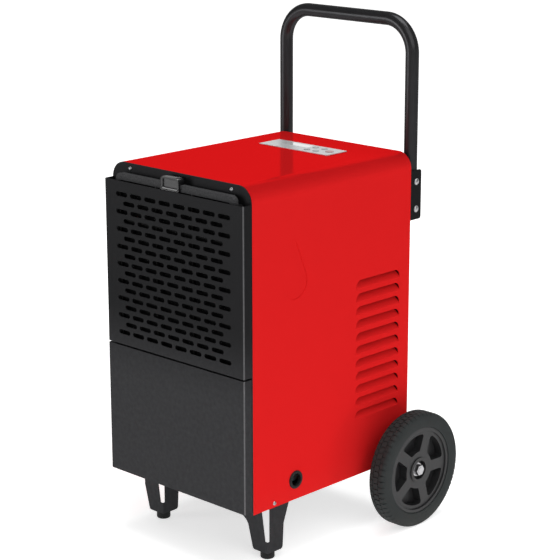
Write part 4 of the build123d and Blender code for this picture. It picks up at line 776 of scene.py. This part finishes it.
class OBJECT_OT_dry_fasteners(Workshop, bpy.types.Operator):
    """Model the domed handle bolts and the cross-head panel screws"""
    bl_idname = "object.dry_fasteners"
    bl_label = "Fasteners"

    def screw_head(self):
        """A flattened dome with a cross recess, standing on the origin."""
        head = start("screw_head", bpy.ops.mesh.primitive_uv_sphere_add, (1, 1, SCREW_FLATTEN),
                     radius=SCREW_RADIUS, segments=24, ring_count=12)
        upper_half(head, SCREW_CUT)
        for turn in (0, pi / 2):
            bar = start("recess", bpy.ops.mesh.primitive_cube_add, RECESS, size=1,
                        location=(0, 0, RECESS_HEIGHT), rotation=(0, 0, turn + RECESS_TURN))
            modified(head, "BOOLEAN", operation="DIFFERENCE", object=bar, solver="EXACT")
            bpy.data.objects.remove(bar)
        return head

    def button(self, rise):
        """A bolt's domed head on its washer."""
        dome = start("dome", bpy.ops.mesh.primitive_uv_sphere_add, (1, 1, rise / BOLT_RADIUS),
                     radius=BOLT_RADIUS, segments=32, ring_count=16)
        upper_half(dome)
        washer = start("washer", bpy.ops.mesh.primitive_cylinder_add, vertices=32,
                       radius=BOLT_RADIUS * WASHER_SPREAD, depth=WASHER_THICK,
                       location=(0, 0, WASHER_THICK / 2))
        return joined("button", [dome, washer])

    def nut_end(self):
        """A bolt's hexagon nut with the end of the shank."""
        nut = start("nut", bpy.ops.mesh.primitive_cylinder_add, vertices=6, radius=NUT_RADIUS,
                    depth=NUT_HEIGHT)
        with shaping(nut):
            pick(nut, "EDGE", lambda at, way: abs(way.z) < 0.1)
            bpy.ops.mesh.bevel(offset=NUT_EDGE, segments=2, affect="EDGES")
        shank = start("shank", bpy.ops.mesh.primitive_cylinder_add, vertices=20, radius=SHANK_RADIUS,
                      depth=SHANK_LENGTH, location=(0, 0, SHANK_RISE))
        return joined("nut_end", [nut, shank])

    def execute(self, context):
        head, middle, heads = self.screw_head(), centre_of("outer_shell"), []
        for low, high in islands("panel_screws"):
            size, seat, way = high - low, (low + high) / 2, Vector((0, 0, 0))
            along = max(range(3), key=lambda axis: size[axis])
            way[along] = 1 if seat[along] > middle[along] else -1
            seat[along] += way[along] * (size[along] / 2 - SCREW_SEAT)
            heads.append(twin(head, "head", Matrix.Translation(seat) @ pointed(way)))
        place_piece(joined("panel_screw_heads", heads), "zinc_fastener", "root", "panel_screws")

        low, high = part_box("handle_bolts")
        plate_face, tube_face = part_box("handle_brackets")[1].x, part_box("handle_tube")[1].x
        nut_place = tube_face - TUBE_THICK - NUT_HEIGHT / 2
        button, inside, bolts = self.button(high.x - plate_face), self.nut_end(), []
        for side in (-1, 1):
            for height in (low.z + BOLT_RADIUS, high.z - BOLT_RADIUS):
                outwards, middle_y = pointed(Vector((side, 0, 0))), (low.y + high.y) / 2
                bolts.append(twin(button, "bolt",
                                  Matrix.Translation((side * plate_face, middle_y, height)) @ outwards))
                bolts.append(twin(inside, "bolt_end",
                                  Matrix.Translation((side * nut_place, middle_y, height)) @ outwards
                                  @ Matrix.Rotation(pi, 4, "X")))
        place_piece(joined("handle_bolt_heads", bolts), "zinc_fastener", "root", "handle_bolts")
        for spare in (head, button, inside):
            bpy.data.objects.remove(spare)
        return {"FINISHED"}


# place, size and watts of each lamp
LAMPS = (((3.5, -1.6, 3.4), 4.4, 114), ((0.3, 0.3, 4.2), 2.4, 94), ((-2.4, -3.4, 0.9), 1.6, 40))
LAMP_AIM = 0, 0, 0.45
CAMERA_PLACE, CAMERA_BACK, CAMERA_ROLL = (2.3039, -2.3915, 1.3510), (0.6677, -0.6982, 0.2585), -0.05
SENSOR_WIDTH = 36
BACKWARD = -0.69, 0.72  # x and y of the direction away from the camera
FLOOR_SIZE, PAPER = 400, (0.88, 0.88, 0.88)
NEAR_GLOW, FAR_GLOW = (0.9, 1.7, 0.62, 0.16), (0.3, 1.6, 0.0, 0.95)  # from, to, glow there
HORIZON, SCREEN_SIDE, SCREEN_TOP = (0.01, 0.07, 0.95), (0.5, 0.8, 0.0, 0.85), (0.5, 0.75, 1.0, 0.0)


class OBJECT_OT_dry_stage(Workshop, bpy.types.Operator):
    """Set the floor, the lights and the camera"""
    bl_idname = "object.dry_stage"
    bl_label = "Stage"

    def floor(self):
        """Pale paper that glows near the machine and behind it."""
        bpy.ops.object.select_all(action="DESELECT")
        bpy.ops.mesh.primitive_grid_add(x_subdivisions=8, y_subdivisions=8, size=FLOOR_SIZE)
        floor = bpy.context.object
        floor.name = "floor"
        paper = Finish("paper_floor")
        spread = paper.add("ShaderNodeVectorMath", {"operation": "LENGTH"}, {0: paper.place})["Value"]
        behind = paper.axis("X") * BACKWARD[0] + paper.axis("Y") * BACKWARD[1]
        level = paper.maths_of("MAXIMUM", paper.ramp(spread, *NEAR_GLOW), paper.ramp(behind, *FAR_GLOW))
        floor.data.materials.append(paper.surface(PAPER, {
            "Roughness": 0.9, "Specular IOR Level": 0.1, "Emission Color": paper.mix(level, BLACK, WHITE),
            "Emission Strength": 1.0}))

    def sky(self, scene, overhead):
        """Dim sky over a bright horizon, with a bright screen behind the machine."""
        scene.world = scene.world or bpy.data.worlds.new("studio")
        scene.world.use_nodes = True
        sky = Nodes(scene.world.node_tree)
        way = sky.add("ShaderNodeTexCoord", {}, {})["Generated"]
        parts = sky.add("ShaderNodeSeparateXYZ", {}, {0: way})
        behind = parts["X"] * BACKWARD[0] + parts["Y"] * BACKWARD[1]
        screen = sky.ramp(behind, *SCREEN_SIDE) * sky.ramp(parts["Z"], *SCREEN_TOP)
        level = sky.maths_of("MAXIMUM", sky.ramp(parts["Z"], *HORIZON, overhead), screen)
        air = sky.add("ShaderNodeBackground", {}, {"Color": sky.mix(level, BLACK, WHITE), "Strength": 1.0})[0]
        sky.add("ShaderNodeOutputWorld", {}, {"Surface": air})

    def camera(self, scene, lens):
        """The camera, placed and turned."""
        bpy.ops.object.camera_add(location=CAMERA_PLACE)
        camera = bpy.context.object
        level = (-Vector(CAMERA_BACK)).to_track_quat("-Z", "Y").to_matrix()
        camera.rotation_euler = (level @ Matrix.Rotation(radians(CAMERA_ROLL), 3, "Z")).to_euler()
        camera.data.lens, camera.data.sensor_width = lens, SENSOR_WIDTH
        scene.camera = camera

    def execute(self, context):
        sizes, scene = context.scene.machine_stage, context.scene
        self.floor()
        self.sky(scene, sizes.sky)
        for place, size, watts in LAMPS:
            bpy.ops.object.light_add(type="AREA", location=place)
            lamp = bpy.context.object
            lamp.data.size, lamp.data.energy = size, watts
            lamp.rotation_euler = (Vector(LAMP_AIM) - Vector(place)).to_track_quat("-Z", "Y").to_euler()
        self.camera(scene, sizes.lens)
        scene.view_settings.view_transform = "Standard"
        return {"FINISHED"}


OPERATORS = (OBJECT_OT_dry_sheet, OBJECT_OT_dry_tyres, OBJECT_OT_dry_tab, OBJECT_OT_dry_fasteners,
             OBJECT_OT_dry_nodes, OBJECT_OT_dry_stage)


class VIEW3D_PT_dry(bpy.types.Panel):
    """Builds the machine's pieces one group at a time"""
    bl_idname = "VIEW3D_PT_dry"
    bl_label = "Dehumidifier"
    bl_space_type = "VIEW_3D"
    bl_region_type = "UI"
    bl_category = "Dehumidifier"

    def draw(self, context):
        for operator in OPERATORS:
            self.layout.operator(operator.bl_idname)
        for group in (getattr(context.scene, name) for name in GROUPS):
            box = self.layout.box()
            for name in group.__annotations__:
                box.prop(group, name)


GROUPS = {"machine_colours": MachineColours, "machine_tread": TreadSizes, "machine_stage": StageSizes}
CLASSES = (*GROUPS.values(), *OPERATORS, VIEW3D_PT_dry)


def register():
    for entry in CLASSES:
        bpy.utils.register_class(entry)
    for name, group in GROUPS.items():
        setattr(bpy.types.Scene, name, bpy.props.PointerProperty(type=group))


def unregister():
    for name in GROUPS:
        delattr(bpy.types.Scene, name)
    for entry in reversed(CLASSES):
        bpy.utils.unregister_class(entry)


def main():
    register()
    for operator in OPERATORS:
        area, name = operator.bl_idname.split(".")
        getattr(getattr(bpy.ops, area), name)()


if __name__ == "__main__":
    main()
